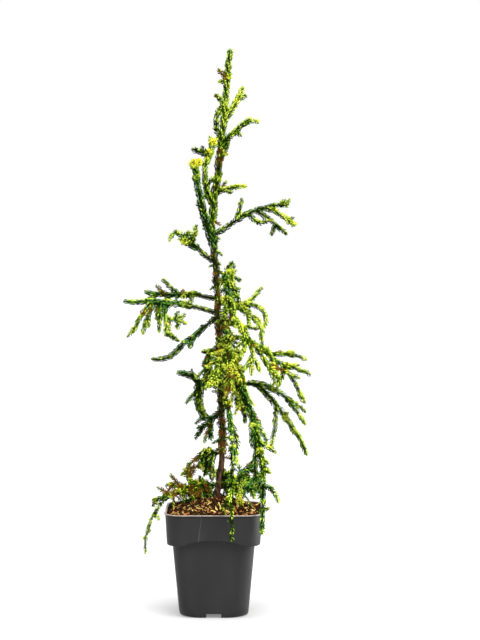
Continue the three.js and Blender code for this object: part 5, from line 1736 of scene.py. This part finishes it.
@dataclass
class GrowingMedium:
    """Peaty medium in the pot: a crumbly mound strewn with chips of bark, straw and moss."""

    clearance: float = 0.5
    rings: int = 46
    strewn_rings: int = 20
    edge_half: float = 70
    steep: float = 1.12
    crumbly: float = 1.25
    crumbs: tuple = ((15, 1.6), (4.5, 1.3), (1.9, 0.7))
    smallest: tuple = (0.45, 0.5, 0.5)
    largest: tuple = (1.35, 1.3, 1.2)
    grain_mm: float = 1.5
    chip_seed: int = 40
    strew_seed: int = 11

    def height_at(self, x: float, y: float) -> float:
        """Height of the crumbly surface.

        Args:
            x: Place to the right.
            y: Place to the back.

        Returns:
            The height.
        """
        off = max(abs(x), abs(y), 0.72 * (abs(x) + abs(y)))
        span = self.edge_half - MOUND_CROWN_HALF
        rise = (MOUND_TOP - MOUND_EDGE) * clamp(1 - (off - MOUND_CROWN_HALF) / span)
        lumps = sum(high * noise.noise(Vector((x, y, 0)) / width) for width, high in self.crumbs)
        return MOUND_EDGE + 0.6 + self.steep * rise + self.crumbly * lumps

    def surface(self, half: float, rings: int, pot: NurseryPot) -> tuple[list, list]:
        """The top of the medium out to a half width.

        Args:
            half: Half width of its outline.
            rings: Rings from the middle out.
            pot: The pot that holds it.

        Returns:
            Points and faces, open at the outline.
        """
        outline = pot.ring_points(Ring(half, 0, pot.rim_corner - pot.wall))
        count = len(outline)
        verts = [Vector((0, 0, self.height_at(0, 0)))]
        for share in (row / rings for row in range(1, rings + 1)):
            for x, y in ((p.x * share, p.y * share) for p in outline):
                verts.append(Vector((x, y, self.height_at(x, y))))
        faces = [(0, 1 + column, 1 + (column + 1) % count) for column in range(count)]
        for row in range(rings - 1):
            faces += band(1 + row * count, 1 + (row + 1) * count, count, True)
        return verts, faces

    def chip(self, litter: Litter, seed: int) -> Object:
        """An irregular flake of a few faces.

        Args:
            litter: Its kind.
            seed: Seed of its shape.

        Returns:
            The flake, kept out of the scene's pieces.
        """
        random = Seeded(seed)
        length, width, thick = litter.size
        shape = bmesh.new()
        bmesh.ops.create_cube(shape, size=1)
        long_edges = [e for e in shape.edges if abs(e.verts[0].co.x - e.verts[1].co.x) > 0.5]
        bmesh.ops.subdivide_edges(shape, edges=long_edges, cuts=1)
        for vert in shape.verts:
            push = Vector([(random() - 0.5) * 0.42 for _ in range(3)]) * min(width, thick * 2)
            end = 0.75 if abs(vert.co.x) > 0.3 else 1.0
            vert.co = Vector((vert.co.x * length, vert.co.y * width * end, vert.co.z * thick)) + push
        name = litter.name + "_chip"
        return bpy.data.objects.new(name, shape_mesh(name, shape, Matrix()))

    def bed(self, half: float, pot: NurseryPot) -> Object:
        """The bed: its crumbly top, and its sides and foot in the pot.

        Args:
            half: Half width of its top.
            pot: The pot that holds it.

        Returns:
            The bed.
        """
        verts, faces = self.surface(half, self.rings, pot)
        body, collar = pot.wall_rings(pot.wall + self.clearance)
        count = (len(verts) - 1) // self.rings
        above = len(verts) - count
        for ring in reversed(body[7:] + collar[:7]):
            start = len(verts)
            verts += pot.ring_points(Ring(ring.half, max(ring.z, 9), ring.corner, ring.arch))
            faces += band(above, start, count, True)
            above = start
        faces.append(tuple(reversed(range(above, above + count))))
        bed = link("medium_bed", plain_mesh("medium_bed", verts, faces))
        bed.data.materials.append(PEAT.material())
        bed.data.shade_smooth()
        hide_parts("growing_medium")
        return bed

    def build(self, pot: NurseryPot) -> list[Object]:
        """Makes the bed and what lies on it.

        Args:
            pot: The pot that holds it.

        Returns:
            The pieces.
        """
        half = pot.rim_half - pot.wall - self.clearance - 0.6
        pieces = [self.bed(half, pot)]
        top = plain_mesh("top", *self.surface(half - 6, self.strewn_rings, pot))
        strew = scatter_tree()
        for number, litter in enumerate(LITTER):
            stops = tuple(zip((0.32, 0.52, 0.72), litter.colours))
            finish = GrainFinish(f"{litter.name}_surface", stops, self.grain_mm)
            piece = strew.apply(litter.name, top.copy(), {
                "Chip": self.chip(litter, self.chip_seed + number), "Density": float(litter.density),
                "Tilt": math.radians(litter.tilt), "Smallest": self.smallest, "Largest": self.largest,
                "Seed": self.strew_seed + number, "Material": finish.material(),
            })
            pieces.append(piece)
        return pieces


@dataclass
class Studio:
    """Pale floor, soft lights and the camera, in metres."""

    eye: tuple = (0.040, -2.5, 0.547)
    pitch: float = 2.2
    lens: float = 91.4
    sensor: float = 36
    far: float = 100
    floor_half: float = 30
    floor_albedo: float = 0.7
    floor_glow: float = 0.23
    sunward: tuple = (0.85, -0.95, 1.7)

    def floor(self) -> Object:
        """A wide plain table that is lit a little from below, as for product photographs.

        Returns:
            The floor.
        """
        material, _, shader = new_material("floor_paper")
        wire(shader, {
            "Base Color": (*[self.floor_albedo] * 3, 1), "Roughness": 0.9, "Specular IOR Level": 0.0,
            "Emission Color": (1, 1, 1, 1), "Emission Strength": self.floor_glow,
        })
        half = self.floor_half / MM
        corners = [(-half, -half, 0), (half, -half, 0), (half, half, 0), (-half, half, 0)]
        piece = link("floor", plain_mesh("floor", corners, [(0, 1, 2, 3)]))
        piece.data.materials.append(material)
        return piece

    def light(self, name: str, kind: str, place: Sequence, target: Sequence, energy: float,
              **settings) -> Object:
        """A soft light that faces a target.

        Args:
            name: Its name.
            kind: SUN or AREA.
            place: Where it stands, which for a sun gives its direction only.
            target: What it faces.
            energy: Its strength.
            settings: Further attributes.

        Returns:
            The light.
        """
        data = bpy.data.lights.new(name, kind)
        data.energy = energy
        for key, value in settings.items():
            setattr(data, key, value)
        obj = link(name, data)
        obj.location = place
        obj.rotation_euler = (Vector(place) - Vector(target)).to_track_quat("Z", "Y").to_euler()
        return obj

    def link_light(self, light: Object, piece: Object, state: str) -> None:
        """Keeps a light off a piece, or on that piece only.

        Args:
            light: The light.
            piece: The piece.
            state: EXCLUDE or INCLUDE.
        """
        group = bpy.data.collections.new(f"{state.lower()}_{light.name}")
        group.objects.link(piece)
        light.light_linking.receiver_collection = group
        group.collection_objects[0].light_linking.link_state = state

    def build(self, pot: Object) -> None:
        """Sets up floor, lights, world and camera.

        Args:
            pot: The pot, which takes a strip light of its own along its right edge.
        """
        floor, middle = self.floor(), (0, 0, 0)
        area = partial(self.light, kind="AREA", shape="RECTANGLE")
        key = self.light("key", "SUN", self.sunward, middle, 7.7, angle=math.radians(26),
                         color=(1, 0.965, 0.9))
        overhead = self.light("overhead", "SUN", (0, -0.1, 1), middle, 1.1, angle=math.radians(20))
        self.light("wash", "SUN", self.sunward, middle, 0.55, angle=math.radians(40))
        area("side", place=(1.6, -0.75, 0.42), target=(0, 0, 0.2), energy=10, size=0.5, size_y=1.6)
        strip = area("strip", place=(1.7, 0.25, 0.35), target=(0, 0, 0.1), energy=50, size=0.8, size_y=1.2)
        self.link_light(key, floor, "EXCLUDE")
        self.link_light(overhead, floor, "INCLUDE")
        self.link_light(strip, pot, "INCLUDE")
        scene = bpy.context.scene
        scene.world = bpy.data.worlds.new("studio")
        scene.world.use_nodes = True
        wire(scene.world.node_tree.nodes["Background"], ((1, 1, 1, 1), 1.0))
        scene.view_settings.view_transform = "Standard"
        data = bpy.data.cameras.new("camera")
        data.lens, data.sensor_width, data.clip_end = self.lens, self.sensor, self.far
        camera = link("camera", data)
        camera.location = self.eye
        camera.rotation_euler = (math.radians(90 - self.pitch), 0, 0)
        scene.camera = camera


def main() -> None:
    """Builds the plant, its pot and the studio."""
    logging.basicConfig(level=logging.INFO, format="%(message)s")
    growth = Growth()
    boughs, layouts = growth.grow()
    pot = NurseryPot()
    pieces = [pot.build()]
    Studio().build(pieces[0])
    pieces += GrowingMedium().build(pot)
    pieces += Wood().build(growth.trunk, boughs)
    crown = Crown()
    crown.grow(layouts, boughs, growth.trunk)
    pieces += crown.build()
    for tone in TONE_LEVELS:
        piece = bpy.data.objects[f"needles_{tone.name.lower()}"]
        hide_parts(*[f"foliage_{m.name}" for m in MASSES if m.tone is tone])
    for piece in pieces:
        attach(piece, "root")
        LOG.info("%s: %d triangles", piece.name, sum(len(p.vertices) - 2 for p in piece.data.polygons))


if __name__ == "__main__":
    main()
